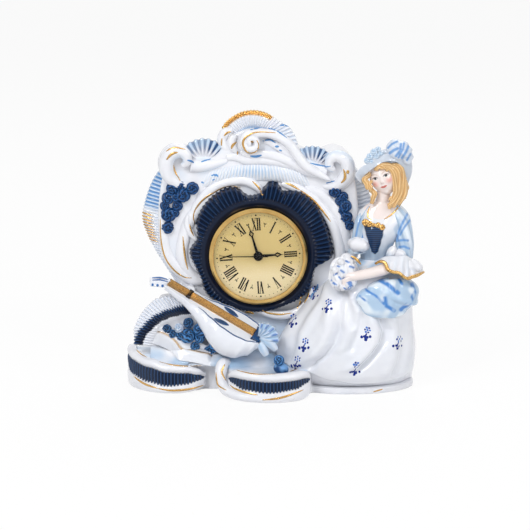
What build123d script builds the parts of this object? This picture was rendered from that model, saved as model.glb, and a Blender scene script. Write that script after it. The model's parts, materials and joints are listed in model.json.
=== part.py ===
from build123d import *
import math
import os

# A rococo porcelain mantel clock with a seated lady, a lying mandolin and a push-in quartz insert.
# Millimetres, +Z up, the dial faces -Y, the origin is under the middle of the base.

# Plinth
BASE_H = 19.0  # flat top of the plinth
BASE_LOW_H = 5.0  # low step under the lady's skirt
BASE_BACK_Y = 46.0
BASE_FRONT_Y = -8.0
BASE_LEFT_X = -97.0
BASE_RIGHT_X = 44.0
BASE_CORNER_R = 16.0
WALL = 5.0  # slip-cast wall
VENT_R = 4.0  # firing vent in the floor
LEFT_LOBE_X = -72.0
LEFT_LOBE_Y = 12.0
LEFT_LOBE_R = 29.0
FRONT_LOBE_X = -4.0
FRONT_LOBE_Y = -12.0
FRONT_LOBE_R = 31.0
ROLL_T = 7.0  # how far a scroll roll stands out from its lobe
ROLL_H = BASE_H + 4.0
STEP_X = 53.0  # middle of the low step
STEP_Y = 7.0
STEP_RX = 48.0
STEP_RY = 31.0
MOUND_H = 9.0  # modelled ground in front of the case

# Clock axis and case
CLOCK_X = -12.0
CLOCK_Z = 97.5
DIAL_ROLL = 3.5  # degrees the insert sits turned to the left
CASE_FRONT_Y = 6.0
CASE_BACK_Y = 44.0
CASE_FOOT_HALF_W = 51.0
CASE_HALF_W = 70.0
SURROUND_T = 7.0
SEAT_Y = CASE_FRONT_Y - SURROUND_T  # plane the bezel rests on
TUNNEL_R = 32.0  # bore through the case for the insert

# Quartz insert
CUP_R = TUNNEL_R - 1.0
CUP_WALL = 1.5
CUP_DEPTH = 21.5
FLANGE_R = TUNNEL_R + 1.6
FLANGE_T = 1.6
RING_GAP = 0.05  # rubber ring to porcelain
BEZEL_R = TUNNEL_R + 4.0
BEZEL_H = 5.6
BEZEL_GAP = 0.05
DIAL_R = FLANGE_R - 0.4
DIAL_T = 0.4
REHAUT_T = 1.6
LENS_T = 1.2
LENS_RISE = 4.4
RUN = 0.06  # radial running clearance of an arbor
PIPE_GAP = 0.10  # radial clearance between the coaxial pipes
BACKLASH = 0.12
BRIDGE_Z = -12.6
BRIDGE_T = 1.2
COVER_T = 1.5
CELL_R = 5.8
CELL_H = 5.4
KNOB_R = 5.0
KNOB_L = 5.0
SCREW_PCD_R = 26.5
SCREW_R = 0.9

# Lady
LADY_X = 72.0
LADY_Y = -3.0
WAIST_Z = BASE_H + 76.0


def front(y):
    """Work plane facing the viewer at depth y, drawn in (X, Z)."""
    return Plane((0, y, 0), x_dir=(1, 0, 0), z_dir=(0, -1, 0))


def clock_point(u, w):
    """A point of the front plane measured from the dial's centre."""
    return (CLOCK_X + u, CLOCK_Z + w)


def polar_point(degrees, r):
    a = math.radians(degrees)
    return clock_point(r * math.cos(a), r * math.sin(a))


def ellipsoid(centre, radii, turn=(0, 0, 0)):
    return Location(centre, turn) * scale(Sphere(1.0), by=radii)


def tower(sections):
    """Loft through level ellipses given as z, x, y, rx, ry."""
    return loft([Plane((x, y, z)) * Ellipse(rx, ry) for z, x, y, rx, ry in sections])


def limb(path, radii):
    """Loft through circles along a polyline of points."""
    faces = []
    last = len(path) - 1
    for i, point in enumerate(path):
        ahead = Vector(*path[min(i + 1, last)]) - Vector(*path[max(i - 1, 0)])
        faces.append(Plane(origin=point, z_dir=ahead) * Circle(radii[i]))
    return loft(faces)


def seat(piece, *others):
    """The piece cut back to the faces of its neighbours, without loose crumbs."""
    for other in others:
        piece = piece - other
    solids = sorted(piece.solids(), key=lambda s: s.volume)
    return solids[-1]


def fan(y, centre, r_in, r_out, start, end, lobes, depth):
    """A shell: a sector with a scalloped rim, from the plane y forwards."""
    step = (end - start) / lobes
    edges = []
    for i in range(lobes):
        angles = [math.radians(start + step * (i + k)) for k in (0, 0.5, 1)]
        radii = (r_out, r_out * 1.06, r_out)
        edges.append(ThreePointArc(*[
            (centre[0] + r * math.cos(a), centre[1] + r * math.sin(a)) for a, r in zip(angles, radii)
        ]))
    inner = [math.radians(start + (end - start) * k) for k in (1, 0.5, 0)]
    rim = [(centre[0] + r_in * math.cos(a), centre[1] + r_in * math.sin(a)) for a in inner]
    edges.append(Line(edges[-1] @ 1, rim[0]))
    edges.append(ThreePointArc(*rim))
    edges.append(Line(rim[2], edges[0] @ 0))
    return extrude(front(y) * make_face(edges), depth)


parts = {}

# Plinth: high body with two front lobes, a low step at the right and a mound of ground


def plinth_plan(inset):
    width = BASE_RIGHT_X - BASE_LEFT_X
    depth = BASE_BACK_Y - BASE_FRONT_Y
    middle = Pos((BASE_LEFT_X + BASE_RIGHT_X) / 2, (BASE_FRONT_Y + BASE_BACK_Y) / 2)
    block = RectangleRounded(width - 2 * inset, depth - 2 * inset, BASE_CORNER_R - inset)
    left = Pos(LEFT_LOBE_X, LEFT_LOBE_Y) * Circle(LEFT_LOBE_R - inset)
    middle_lobe = Pos(FRONT_LOBE_X, FRONT_LOBE_Y) * Circle(FRONT_LOBE_R - inset)
    return middle * block + left + middle_lobe


high = extrude(plinth_plan(0), BASE_H)
step = extrude(Pos(STEP_X, STEP_Y) * Ellipse(STEP_RX, STEP_RY), BASE_LOW_H)
mound = ellipsoid((-34, -2, BASE_H), (42, 17, MOUND_H))
mound = mound & Pos(0, CASE_FRONT_Y - 100, BASE_H + 100) * Box(300, 200, 200)
plinth = high + step + mound
cavity = Pos(0, 0, WALL) * extrude(plinth_plan(WALL), BASE_H - 2 * WALL)
vent = Pos(CLOCK_X, STEP_Y, WALL / 2) * Cylinder(VENT_R, WALL + 2)
parts["base_plinth"] = plinth - cavity - vent


def scroll_roll(x, y, r, start, arc):
    """A rounded roll wrapped round a lobe of the plinth, with turned ends."""
    profile = make_face([
        Line((r, 0), (r + ROLL_T * 0.55, 0)),
        ThreePointArc((r + ROLL_T * 0.55, 0), (r + ROLL_T, ROLL_H * 0.42), (r + ROLL_T * 0.75, ROLL_H * 0.8)),
        ThreePointArc((r + ROLL_T * 0.75, ROLL_H * 0.8), (r + ROLL_T * 0.45, ROLL_H), (r, ROLL_H * 0.92)),
        Line((r, ROLL_H * 0.92), (r, 0)),
    ])
    ring = revolve(Plane.XZ * profile, Axis.Z, revolution_arc=arc)
    return Pos(x, y, 0) * Rot(0, 0, start) * ring


left_roll = scroll_roll(LEFT_LOBE_X, LEFT_LOBE_Y, LEFT_LOBE_R, 168, 130)
front_roll = scroll_roll(FRONT_LOBE_X, FRONT_LOBE_Y, FRONT_LOBE_R, 213, 110)
parts["left_foot_scroll"] = seat(left_roll, plinth)
parts["front_foot_scroll"] = seat(front_roll, plinth, left_roll)

# Case: hollow cartouche standing on the plinth, with a sleeve for the insert and a luted back plate


def cartouche(side):
    """Half outline from the foot to the top, on one side of the dial axis."""
    foot_z = BASE_H - CLOCK_Z
    bend_z = foot_z * 0.5
    return [
        Line(clock_point(side * CASE_FOOT_HALF_W, foot_z), clock_point(side * CASE_FOOT_HALF_W, bend_z)),
        ThreePointArc(
            clock_point(side * CASE_FOOT_HALF_W, bend_z),
            clock_point(side * (CASE_FOOT_HALF_W + 6), bend_z + 19),
            clock_point(side * CASE_HALF_W, -2),
        ),
        ThreePointArc(
            clock_point(side * CASE_HALF_W, -2),
            clock_point(side * (CASE_HALF_W + 2), 32),
            clock_point(side * (CASE_HALF_W - 3), 64),
        ),
        ThreePointArc(
            clock_point(side * (CASE_HALF_W - 3), 64),
            clock_point(side * (CASE_HALF_W - 10), 73),
            clock_point(side * (CASE_HALF_W - 22), 73),
        ),
        ThreePointArc(
            clock_point(side * (CASE_HALF_W - 22), 73),
            clock_point(side * 36, 71),
            clock_point(side * 26, 78),
        ),
        ThreePointArc(clock_point(side * 26, 78), clock_point(side * 15, 88), clock_point(0, 91)),
    ]


foot = Line(clock_point(-CASE_FOOT_HALF_W, BASE_H - CLOCK_Z), clock_point(CASE_FOOT_HALF_W, BASE_H - CLOCK_Z))
case_face = make_face(cartouche(1) + cartouche(-1) + [foot])
case_depth = CASE_BACK_Y - CASE_FRONT_Y
case_full = extrude(front(CASE_BACK_Y) * case_face, case_depth)
hollow_face = offset(case_face, amount=-WALL)
back_y = CASE_BACK_Y - WALL
hollow = extrude(front(back_y) * hollow_face, case_depth - 2 * WALL)
open_foot = Pos(CLOCK_X, (CASE_FRONT_Y + CASE_BACK_Y) / 2, BASE_H + WALL / 2)
open_foot = open_foot * Box(2 * (CASE_FOOT_HALF_W - WALL), case_depth - 2 * WALL, WALL + 0.02)
bore = Pos(*clock_point(0, 0)) * Circle(TUNNEL_R)
sleeve_wall = Pos(*clock_point(0, 0)) * Circle(TUNNEL_R + WALL) - bore
tunnel = extrude(front(CASE_BACK_Y + 1) * bore, case_depth + 40)
inside = hollow + open_foot & Pos(0, 0, BASE_H + 200) * Box(400, 400, 400)
case_front = extrude(front(back_y) * case_face, case_depth - WALL)
parts["case_body"] = case_front - inside - tunnel
parts["case_sleeve"] = extrude(front(back_y) * sleeve_wall, case_depth - 2 * WALL)
parts["case_back"] = extrude(front(CASE_BACK_Y) * case_face, WALL) - tunnel

# Dial surround: a lobed cobalt relief round the bore
LOBES = [
    (90, 6), (81, 16), (75, 16), (68, 12), (58, 18), (44, 19), (28, 17), (12, 16), (-2, 16),
    (-14, 5), (-38, 8), (-62, 4), (-90, 4), (-118, 5), (-142, 10), (-156, 8), (-168, 9),
    (-182, 12), (165, 8), (152, 13), (140, 16), (124, 17), (110, 15), (100, 6),
]
rim = [polar_point(a, BEZEL_R + 1 + lobe) for a, lobe in LOBES]
surround_face = make_face(Spline(*rim, periodic=True))
surround = extrude(front(CASE_FRONT_Y) * surround_face, SURROUND_T)
parts["dial_surround"] = seat(surround, tunnel)


def frame_scroll(start, arc, r, thick):
    """A half-round moulding that follows the surround on the case front."""
    x, z = polar_point(start, r)
    outward = (x - CLOCK_X, 0, z - CLOCK_Z)
    along_it = (z - CLOCK_Z, 0, CLOCK_X - x)
    profile = Plane(origin=(x, CASE_FRONT_Y, z), x_dir=outward, z_dir=along_it) * Circle(thick)
    return revolve(profile, Axis((CLOCK_X, CASE_FRONT_Y, CLOCK_Z), (0, -1, 0)), revolution_arc=arc)


FRAME_R = BEZEL_R + 24.0
right_frame = frame_scroll(-20, 92, FRAME_R, 4.0)
left_frame = frame_scroll(108, 100, FRAME_R, 4.0)
parts["frame_scrolls"] = Compound([
    seat(right_frame, case_full, surround),
    seat(left_frame, case_full, surround),
])

# Crest and corner ornament
crest_mid = (CLOCK_X - 4, CLOCK_Z + 80)
crest_y = CASE_FRONT_Y + 16.0
crest = fan(crest_y, crest_mid, 3, 23.6, 28, 152, 7, 12)
parts["crest_shell"] = seat(crest, case_full)


def volute(u, w, r, thick):
    """A rolled scroll end: a thick eye inside a raised rim."""
    centre = clock_point(u, w)
    eye = extrude(front(CASE_FRONT_Y + 8) * Pos(*centre) * Circle(r), 8 + thick)
    groove = Plane((centre[0], CASE_FRONT_Y - thick, centre[1]), z_dir=(0, -1, 0)) * Torus(r * 0.58, r * 0.2)
    return eye - groove


crest_volute = volute(-5, 79, 7.0, 7.0)
band_path = front(CASE_FRONT_Y) * Spline(
    clock_point(1, 84), clock_point(16, 81), clock_point(31, 69), clock_point(48, 59)
)
band = sweep(Plane(origin=band_path @ 0, z_dir=band_path % 0) * Circle(4.0), band_path)
parts["crest_scroll"] = seat(crest_volute + band, case_full, surround, crest, right_frame)
crest_scroll = parts["crest_scroll"]

left_volute = volute(10 - CASE_HALF_W, 66, 11.0, 6.0)
right_volute = volute(CASE_HALF_W - 11, 61, 10.5, 6.0)
parts["corner_volutes"] = Compound([
    seat(left_volute, case_full, left_frame),
    seat(right_volute, case_full, right_frame, crest_scroll),
])
top_left = fan(CASE_FRONT_Y + 12, clock_point(31 - CASE_HALF_W, 66), 2, 18, 50, 140, 4, 14)
top_right = fan(CASE_FRONT_Y + 12, clock_point(CASE_HALF_W - 32, 62), 2, 17, 40, 130, 4, 14)
parts["top_shells"] = Compound([
    seat(top_left, case_full, left_volute, crest),
    seat(top_right, case_full, right_volute, crest, crest_scroll),
])


def side_shell(side):
    """A fluted flank that swells from the case side."""
    edge = CASE_HALF_W
    face = make_face([
        ThreePointArc(
            clock_point(side * (edge - 12), -22),
            clock_point(side * (edge + 14), 24),
            clock_point(side * (edge - 6), 66),
        ),
        Line(clock_point(side * (edge - 6), 66), clock_point(side * (edge - 12), -22)),
    ])
    slab = extrude(front(CASE_FRONT_Y + 28) * face, 24)
    inner = CLOCK_X + side * (edge - 16)
    rim = CLOCK_X + side * (edge + 16)
    wedge = make_face(Polyline(
        (inner, CASE_FRONT_Y + 3), (rim, CASE_FRONT_Y + 11.5),
        (rim, CASE_FRONT_Y + 12.5), (inner, CASE_FRONT_Y + 28.5), close=True,
    ))
    return slab & extrude(Plane.XY * wedge, CLOCK_Z + 2 * edge)


left_flank = side_shell(-1)
right_flank = side_shell(1)
parts["side_shells"] = Compound([
    seat(left_flank, case_full, left_volute),
    seat(right_flank, case_full, right_volute),
])


def rose_cluster(spots, *others):
    """Crowded round roses at x, y, z, r, each cut back to its neighbours."""
    roses = []
    for x, y, z, r in spots:
        roses.append(seat(Pos(x, y, z) * Sphere(r), *others, *roses))
    return roses


ROSE_R = 3.3
CASE_ROSES = [
    (-46, 50), (-53, 49), (-54, 42), (-61, 46), (-61.5, 38), (-67, 32), (-60, 31), (-63, 25), (-65, 18),
    (54, 45), (60, 41), (62, 34), (62, 27), (64.5, 20),
]
case_roses = []
for u, w in CASE_ROSES:
    x, z = clock_point(u, w)
    bud = Sphere(ROSE_R, arc_size1=0, arc_size2=90, align=(Align.CENTER, Align.CENTER, Align.MIN))
    case_roses.append(Location((x, CASE_FRONT_Y, z), (90, 0, 0)) * bud)
parts["rose_clusters"] = Compound(case_roses)

# Foreground at the left: a shell on a sloping bank, with a song sheet and roses on the slope
BANK_FRONT_Y = -19.0
BANK_H = 23.0
BANK_L = 46.0
bank_x = LEFT_LOBE_X - 18
shell_mid = (LEFT_LOBE_X + 16, BASE_H + 11)
lower_shell = fan(CASE_FRONT_Y, shell_mid, 6, 43, 92, 172, 6, 9)
bank_face = Polygon((BANK_FRONT_Y, 0), (CASE_FRONT_Y, 0), (CASE_FRONT_Y, BANK_H), align=None)
bank = extrude(Plane((bank_x, 0, BASE_H), x_dir=(0, 1, 0), z_dir=(1, 0, 0)) * bank_face, BANK_L)
lower_shell = seat(lower_shell + bank, plinth, left_roll, case_full, left_flank, left_frame)

# Mandolin lying on the mound, in its own frame: +x to the head, +z out of the soundboard
BOWL_L = 28.0
BOWL_W = 20.0
BOWL_D = 23.0
NECK_END = 62.0
HEAD_L = 17.0
STRING_H = 1.6
mandolin = Plane((-31, -16, BASE_H + 30.5), x_dir=(-0.86, 0.14, 0.49), z_dir=(0.35, -0.5, 0.79))
bowl = scale(Sphere(1.0), by=(BOWL_L, BOWL_W, BOWL_D))
bowl = bowl & Pos(0, 0, -BOWL_D) * Box(4 * BOWL_L, 4 * BOWL_W, 2 * BOWL_D)
heel_faces = [
    Plane((BOWL_L - 10, 0, -5), x_dir=(0, 1, 0), z_dir=(1, 0, 0)) * Ellipse(8.5, 6.5),
    Plane((BOWL_L + 8, 0, -2.6), x_dir=(0, 1, 0), z_dir=(1, 0, 0)) * Ellipse(4.8, 4.2),
    Plane((NECK_END - 10, 0, -2.0), x_dir=(0, 1, 0), z_dir=(1, 0, 0)) * Ellipse(3.8, 3.6),
]
neck = loft(heel_faces)
head_plate = Pos(NECK_END - 11 + HEAD_L / 2, 0, -2.6) * Box(HEAD_L, 10.0, 5.0)
board = Pos((NECK_END - 40) / 2 + 4, 0, STRING_H / 2) * Box(NECK_END + 10, 5.4, STRING_H)
neck = neck & Pos(0, 0, -50) * Box(400, 400, 100)
mandolin_bowl = mandolin * bowl
mandolin_neck = mandolin * (neck + head_plate + board)
mandolin_bowl = seat(mandolin_bowl, plinth, case_full, surround, front_roll, left_roll)
mandolin_neck = seat(mandolin_neck, mandolin_bowl, case_full, surround, left_frame, plinth)
parts["mandolin_bowl"] = mandolin_bowl
parts["mandolin_neck"] = mandolin_neck
lower_shell = seat(lower_shell, mandolin_bowl, mandolin_neck)
parts["lower_shell"] = lower_shell

ground_spots = [
    (-74, -6, 24, 5.5), (-63, -4, 30, 5.0), (-62, -4, 19, 5.0), (-53, -1, 23, 5.0), (-58, -10, 13, 4.5),
]
ground_roses = rose_cluster(
    [(x, y, BASE_H + lift, r) for x, y, lift, r in ground_spots],
    plinth, left_roll, front_roll, mandolin_bowl, mandolin_neck, lower_shell, case_full,
)
parts["ground_roses"] = Compound(ground_roses)
SHEET_T = 2.0
slope = math.degrees(math.atan2(BANK_H, CASE_FRONT_Y - BANK_FRONT_Y))
sheet_l = math.hypot(BANK_H, CASE_FRONT_Y - BANK_FRONT_Y) - 8
sheet = Pos(-LEFT_LOBE_X / 10, sheet_l / 2 + 1, SHEET_T / 2) * Box(BANK_L - 8, sheet_l, SHEET_T)
sheet = Location((LEFT_LOBE_X - 5, BANK_FRONT_Y, BASE_H), (slope, 0, 0)) * sheet
parts["song_sheet"] = seat(sheet, plinth, left_roll, mandolin_bowl, mandolin_neck, lower_shell, *ground_roses)

# Lady: skirt, bodice, head, arms
SKIRT_RINGS = [
    (BASE_LOW_H, LADY_X - 17, STEP_Y - 2, 45, 29),
    (BASE_LOW_H + 10, LADY_X - 19.5, STEP_Y - 6, 48.5, 33),
    (BASE_LOW_H + 26, LADY_X - 20, STEP_Y - 8, 50, 33.5),
    (WAIST_Z - 47, LADY_X - 17, STEP_Y - 10, 45, 31),
    (WAIST_Z - 29, LADY_X - 10.5, STEP_Y - 12, 37, 27),
    (WAIST_Z - 15, LADY_X - 5, STEP_Y - 13, 29, 21),
    (WAIST_Z - 5, LADY_X - 1, STEP_Y - 12, 18, 14),
    (WAIST_Z, LADY_X, LADY_Y, 11, 9),
]
# Main folds of the skirt front: heights and places across, then depth and height of the ridge beside it
SKIRT_FOLDS = [
    ([(20, 24), (30, 33), (39, 41), (49, 44.6), (60, 45.7), (80, 44.6)], 4.6, 2.4),
    ([(52, 55.5), (62, 53.3), (71, 51), (78, 48.5)], 3.4, 1.2),
    ([(20, 59), (32, 71), (40, 77), (49, 79), (58, 75.6), (70, 64.5)], 4.4, 2.2),
    ([(34, 53), (38, 55.4), (52, 61.2), (63, 62.6), (73, 59)], 2.6, 1.4),
    ([(22, 7), (34, 10.8), (45, 13.4), (56, 19.2), (67, 27), (80, 34)], 3.2, 2.0),
    ([(14, 86), (23, 90), (38, 93), (52, 91), (62, 87)], 2.0, 1.0),
]
FOLD_W = 3.6
FOLD_FADE = 7
RING_POINTS = 72
RINGS = 18


def between(rows, z):
    """The row at a height, straight between the rows of a table."""
    for low, high in zip(rows, rows[1:]):
        if z <= high[0]:
            share = max(0, (z - low[0]) / (high[0] - low[0]))
            return [a + (b - a) * share for a, b in zip(low, high)]
    return rows[-1]


def pressed(x, z):
    """How far the skirt front is pressed in at a place, less where a ridge stands out."""
    depth = 0.0
    for line, deep, ridge in SKIRT_FOLDS:
        inside = min(z - line[0][0], line[-1][0] - z) / FOLD_FADE + 0.5
        off = (x - between(line, z)[1]) / FOLD_W
        form = deep * math.exp(-off ** 2) - ridge * math.exp(-((off + 2.2) / 1.4) ** 2)
        depth += form * min(1.0, max(0.0, inside))
    return depth


def gown(heights):
    """Loft through level rings that are pressed in along the folds of the front."""
    rings = []
    for z in heights:
        _, x, y, rx, ry = between(SKIRT_RINGS, z)
        points = []
        for i in range(RING_POINTS):
            a = 2 * math.pi * i / RING_POINTS
            front = min(1.0, max(0.0, -2 * math.sin(a)))
            press = front * pressed(x + rx * math.cos(a), z)
            points.append((x + (rx - press) * math.cos(a), y + (ry - press) * math.sin(a), z))
        rings.append(make_face(Spline(*points, periodic=True)))
    return loft(rings)


skirt = gown([BASE_LOW_H + (WAIST_Z - BASE_LOW_H) * k / (RINGS - 1) for k in range(RINGS)])
skirt_hollow = tower([
    (BASE_LOW_H - 1, LADY_X - 15, STEP_Y - 2, 35, 19),
    (BASE_LOW_H + 26, LADY_X - 13, STEP_Y - 6, 33, 20),
    (WAIST_Z - 35, LADY_X - 9, STEP_Y - 9, 24, 15),
    (WAIST_Z - 20, LADY_X - 5, STEP_Y - 9, 12, 8),
])
case_block = case_full + Pos(CLOCK_X, (CASE_FRONT_Y + CASE_BACK_Y) / 2, BASE_H + 20) * Box(
    2 * CASE_FOOT_HALF_W + 2 * WALL, case_depth, 40
)
hollow_reach = skirt_hollow - case_block - extrude(plinth_plan(-WALL), BASE_H + WALL)
skirt_solid = seat(skirt, plinth, case_full, right_flank, right_frame, front_roll, surround)
parts["skirt"] = seat(skirt_solid, hollow_reach)
bodice = tower([
    (WAIST_Z, LADY_X, LADY_Y, 10.5, 8.5),
    (WAIST_Z + 9, LADY_X + 1, LADY_Y, 12.5, 9.5),
    (WAIST_Z + 19, LADY_X + 2.5, LADY_Y - 1, 15, 11),
    (WAIST_Z + 27, LADY_X + 3.5, LADY_Y, 16.5, 10.5),
    (WAIST_Z + 34, LADY_X + 4, LADY_Y + 1, 16, 9),
    (WAIST_Z + 39, LADY_X + 4.2, LADY_Y + 1, 9, 7),
    (WAIST_Z + 42, LADY_X + 4.3, LADY_Y + 1, 5.5, 5.5),
])
parts["bodice"] = seat(bodice, skirt_solid, case_full, right_flank, *case_roses)
neck_stem = limb(
    [(LADY_X + 4.3, LADY_Y + 1, WAIST_Z + 38), (LADY_X + 4.4, LADY_Y, WAIST_Z + 52)],
    [5.0, 4.6],
)
skull = ellipsoid((LADY_X + 4.5, LADY_Y - 1.5, WAIST_Z + 58), (9.0, 10.0, 12.0), (0, -8, 0))
head = seat(neck_stem + skull, bodice)
parts["head"] = head
hair = ellipsoid((LADY_X + 6.5, LADY_Y + 2, WAIST_Z + 58), (12.5, 10.5, 14.0))
curl = limb(
    [
        (LADY_X + 15, LADY_Y - 2, WAIST_Z + 58),
        (LADY_X + 16, LADY_Y - 4, WAIST_Z + 44),
        (LADY_X + 13, LADY_Y - 6, WAIST_Z + 33),
    ],
    [4.5, 4.5, 3.0],
)
hair = seat(hair + curl, head, bodice, right_flank, case_full)
parts["hair"] = hair
brim = ellipsoid((LADY_X + 6, LADY_Y + 1, WAIST_Z + 67.5), (22, 17, 2.6), (0, -19, 0))
crown = ellipsoid((LADY_X + 9, LADY_Y + 2, WAIST_Z + 72), (14, 12, 10), (0, -19, 0))
plume = ellipsoid((LADY_X + 21, LADY_Y - 1, WAIST_Z + 77), (9, 8, 8))
parts["hat"] = seat(brim + crown + plume, head, hair)

left_sleeve = tower([
    (WAIST_Z + 3, LADY_X + 23, LADY_Y - 6, 7.5, 7.5),
    (WAIST_Z + 17, LADY_X + 23, LADY_Y - 3, 8.5, 8.5),
    (WAIST_Z + 29, LADY_X + 20, LADY_Y - 1, 8.0, 8.0),
    (WAIST_Z + 37, LADY_X + 15, LADY_Y, 5.0, 6.0),
])
left_sleeve = seat(left_sleeve, bodice, skirt_solid, hair, head)
parts["left_sleeve"] = left_sleeve
right_sleeve = tower([
    (WAIST_Z + 5, LADY_X - 16, LADY_Y - 6, 8.0, 6.5),
    (WAIST_Z + 17, LADY_X - 12, LADY_Y - 3, 6.5, 6.5),
    (WAIST_Z + 29, LADY_X - 9, LADY_Y - 1, 6.5, 7.0),
    (WAIST_Z + 36, LADY_X - 6, LADY_Y, 4.0, 5.0),
])
right_sleeve = seat(right_sleeve, bodice, skirt_solid, hair, case_full, right_flank, *case_roses)
parts["right_sleeve"] = right_sleeve
pannier = ellipsoid((LADY_X + 10, LADY_Y - 11, WAIST_Z - 27), (23, 22, 16))
pannier = seat(pannier, skirt_solid, bodice, left_sleeve)
parts["overskirt"] = pannier
forearm = limb(
    [
        (LADY_X + 21, LADY_Y - 14, WAIST_Z + 1),
        (LADY_X, LADY_Y - 25, WAIST_Z - 5),
        (LADY_X - 19, LADY_Y - 26, WAIST_Z - 8),
    ],
    [4.2, 3.6, 2.8],
)
forearm = seat(forearm, skirt_solid, left_sleeve, bodice, pannier)
parts["left_forearm"] = forearm
cuff = ellipsoid((LADY_X + 20.6, LADY_Y - 12.5, WAIST_Z - 1.7), (16, 11, 6.5), (0, 12, 0))
parts["left_cuff"] = seat(cuff, skirt_solid, forearm, left_sleeve, bodice, pannier)
kerchief = ellipsoid((LADY_X - 22, LADY_Y - 23, WAIST_Z - 8), (11, 8, 12))
parts["handkerchief"] = seat(kerchief, forearm, skirt_solid, right_sleeve, pannier)
shoe = ellipsoid((FRONT_LOBE_X + 8, FRONT_LOBE_Y - 24, BASE_H + 3), (6, 5, 5), (0, 0, 20))
parts["shoe"] = seat(shoe, plinth, front_roll, skirt_solid)
bow_z = BASE_H + 21
KNOT_R = 3.7
knot_x = CLOCK_X + 5
low_x = knot_x + KNOT_R * 1.8
low_z = bow_z - KNOT_R * 1.2
knots = [seat(Pos(knot_x, -24, bow_z) * Sphere(KNOT_R), mandolin_bowl, mandolin_neck)]
knots.append(Pos(low_x, -26, low_z) * Sphere(KNOT_R))
tail_h = low_z - KNOT_R - BASE_H
ends = Pos(low_x, -26, BASE_H + tail_h / 2) * Cylinder(3.0, tail_h)
parts["ribbon_bow"] = Compound(knots + [ends])

# Quartz insert, in its own frame: +z to the viewer, z = 0 on the porcelain seat
insert = Location((CLOCK_X, SEAT_Y, CLOCK_Z), (90, 0, 0)) * Location((0, 0, 0), (0, 0, DIAL_ROLL))


def disc(r, low, high, x=0.0, y=0.0):
    """A plain cylinder between two levels."""
    return Pos(x, y, (low + high) / 2) * Cylinder(r, high - low)


def spin(points):
    """A turned part from a closed radius and level outline."""
    return revolve(Plane.XZ * make_face(Polyline(*points, close=True)), Axis.Z)


def toothed(teeth, module, phase, low, high, x=0.0, y=0.0):
    """A spur wheel with straight-sided involute flanks, thinned for backlash."""
    pitch = teeth * module / 2
    base = pitch * math.cos(math.radians(20))
    half = (math.pi * module / 2 - BACKLASH) / (2 * pitch)
    lean = math.tan(math.radians(20)) - math.radians(20)
    flank = []
    for r in (pitch - 1.2 * module, pitch, pitch + 0.9 * module):
        roll = math.acos(min(1.0, base / r))
        flank.append((r, half + lean - (math.tan(roll) - roll)))
    outline = []
    for k in range(teeth):
        middle = math.radians(phase) + 2 * math.pi * k / teeth
        for r, a in flank:
            outline.append((x + r * math.cos(middle - a), y + r * math.sin(middle - a)))
        for r, a in reversed(flank):
            outline.append((x + r * math.cos(middle + a), y + r * math.sin(middle + a)))
    return Pos(0, 0, low) * extrude(make_face(Polyline(*outline, close=True)), high - low)


def mesh_phase(teeth_a, phase_a, teeth_b, direction):
    """Phase of wheel b that puts a gap where wheel a has a tooth."""
    share = ((direction - phase_a) / (360 / teeth_a)) % 1
    return direction + 180 - (0.5 - share) * 360 / teeth_b


def along(x, y, degrees, distance):
    a = math.radians(degrees)
    return x + distance * math.cos(a), y + distance * math.sin(a)


# Wheel counts, modules and centres of the train
ROTOR_N, STEP_N, STEP_PINION_N, SECOND_N = 10, 60, 12, 60
SECOND_PINION_N, THIRD_N, THIRD_PINION_N, CENTRE_N = 10, 75, 10, 80
CANNON_N, MINUTE_N, MINUTE_PINION_N, HOUR_N, SET_N = 16, 48, 12, 48, 16
M_ROTOR, M_STEP, M_SECOND, M_MOTION = 0.30, 0.36, 0.30, 0.36
THIRD_CD = M_SECOND * (SECOND_PINION_N + THIRD_N) / 2
M_THIRD = 2 * THIRD_CD / (THIRD_PINION_N + CENTRE_N)
MOTION_CD = M_MOTION * (CANNON_N + MINUTE_N) / 2
M_HOUR = 2 * MOTION_CD / (MINUTE_PINION_N + HOUR_N)
THIRD_DIR, STEP_DIR, ROTOR_DIR, MINUTE_DIR = 200.0, -60.0, 20.0, 60.0
third_x, third_y = along(0, 0, THIRD_DIR, THIRD_CD)
step_x, step_y = along(0, 0, STEP_DIR, M_STEP * (STEP_PINION_N + SECOND_N) / 2)
rotor_x, rotor_y = along(step_x, step_y, ROTOR_DIR, M_ROTOR * (ROTOR_N + STEP_N) / 2)
minute_x, minute_y = along(0, 0, MINUTE_DIR, MOTION_CD)
knob_x, knob_y = along(minute_x, minute_y, MINUTE_DIR, MOTION_CD)

ARBOR_R = 0.5
SECOND_R = 0.75
CANNON_R = 1.6
HOUR_PIPE_R = 2.4
STUD_R = 0.8
SET_R = 1.2
PIVOT_DEPTH = 0.8
BRIDGE_TOP = BRIDGE_Z + BRIDGE_T
COVER_TOP = COVER_T - CUP_DEPTH
CELL_X, CELL_Y = -12.0, -16.0
POCKET_R = CELL_R + 1.3

# Cup with its front wall, the pivot holes and the ledge that carries the bridge
cup = spin([
    (HOUR_PIPE_R + PIPE_GAP, 0), (FLANGE_R, 0), (FLANGE_R, FLANGE_T), (HOUR_PIPE_R + PIPE_GAP, FLANGE_T),
])
cup = cup + spin([
    (CUP_R - CUP_WALL, 0), (CUP_R, 0), (CUP_R, -CUP_DEPTH), (CUP_R - CUP_WALL, -CUP_DEPTH),
])
cup = cup + spin([
    (CUP_R - CUP_WALL - 1.6, BRIDGE_TOP), (CUP_R - CUP_WALL, BRIDGE_TOP), (CUP_R - CUP_WALL, BRIDGE_TOP + 3),
    (CUP_R - CUP_WALL - 1.6, BRIDGE_TOP + 1),
])
screw_spots = [along(0, 0, a, SCREW_PCD_R) for a in (25, 145, 265)]
for x, y in screw_spots:
    cup = cup + (disc(2.2, BRIDGE_TOP, 0, x, y) & disc(CUP_R - CUP_WALL, BRIDGE_TOP, 0))
    cup = cup - disc(SCREW_R, BRIDGE_TOP - 1, BRIDGE_TOP + 4, x, y)
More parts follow.
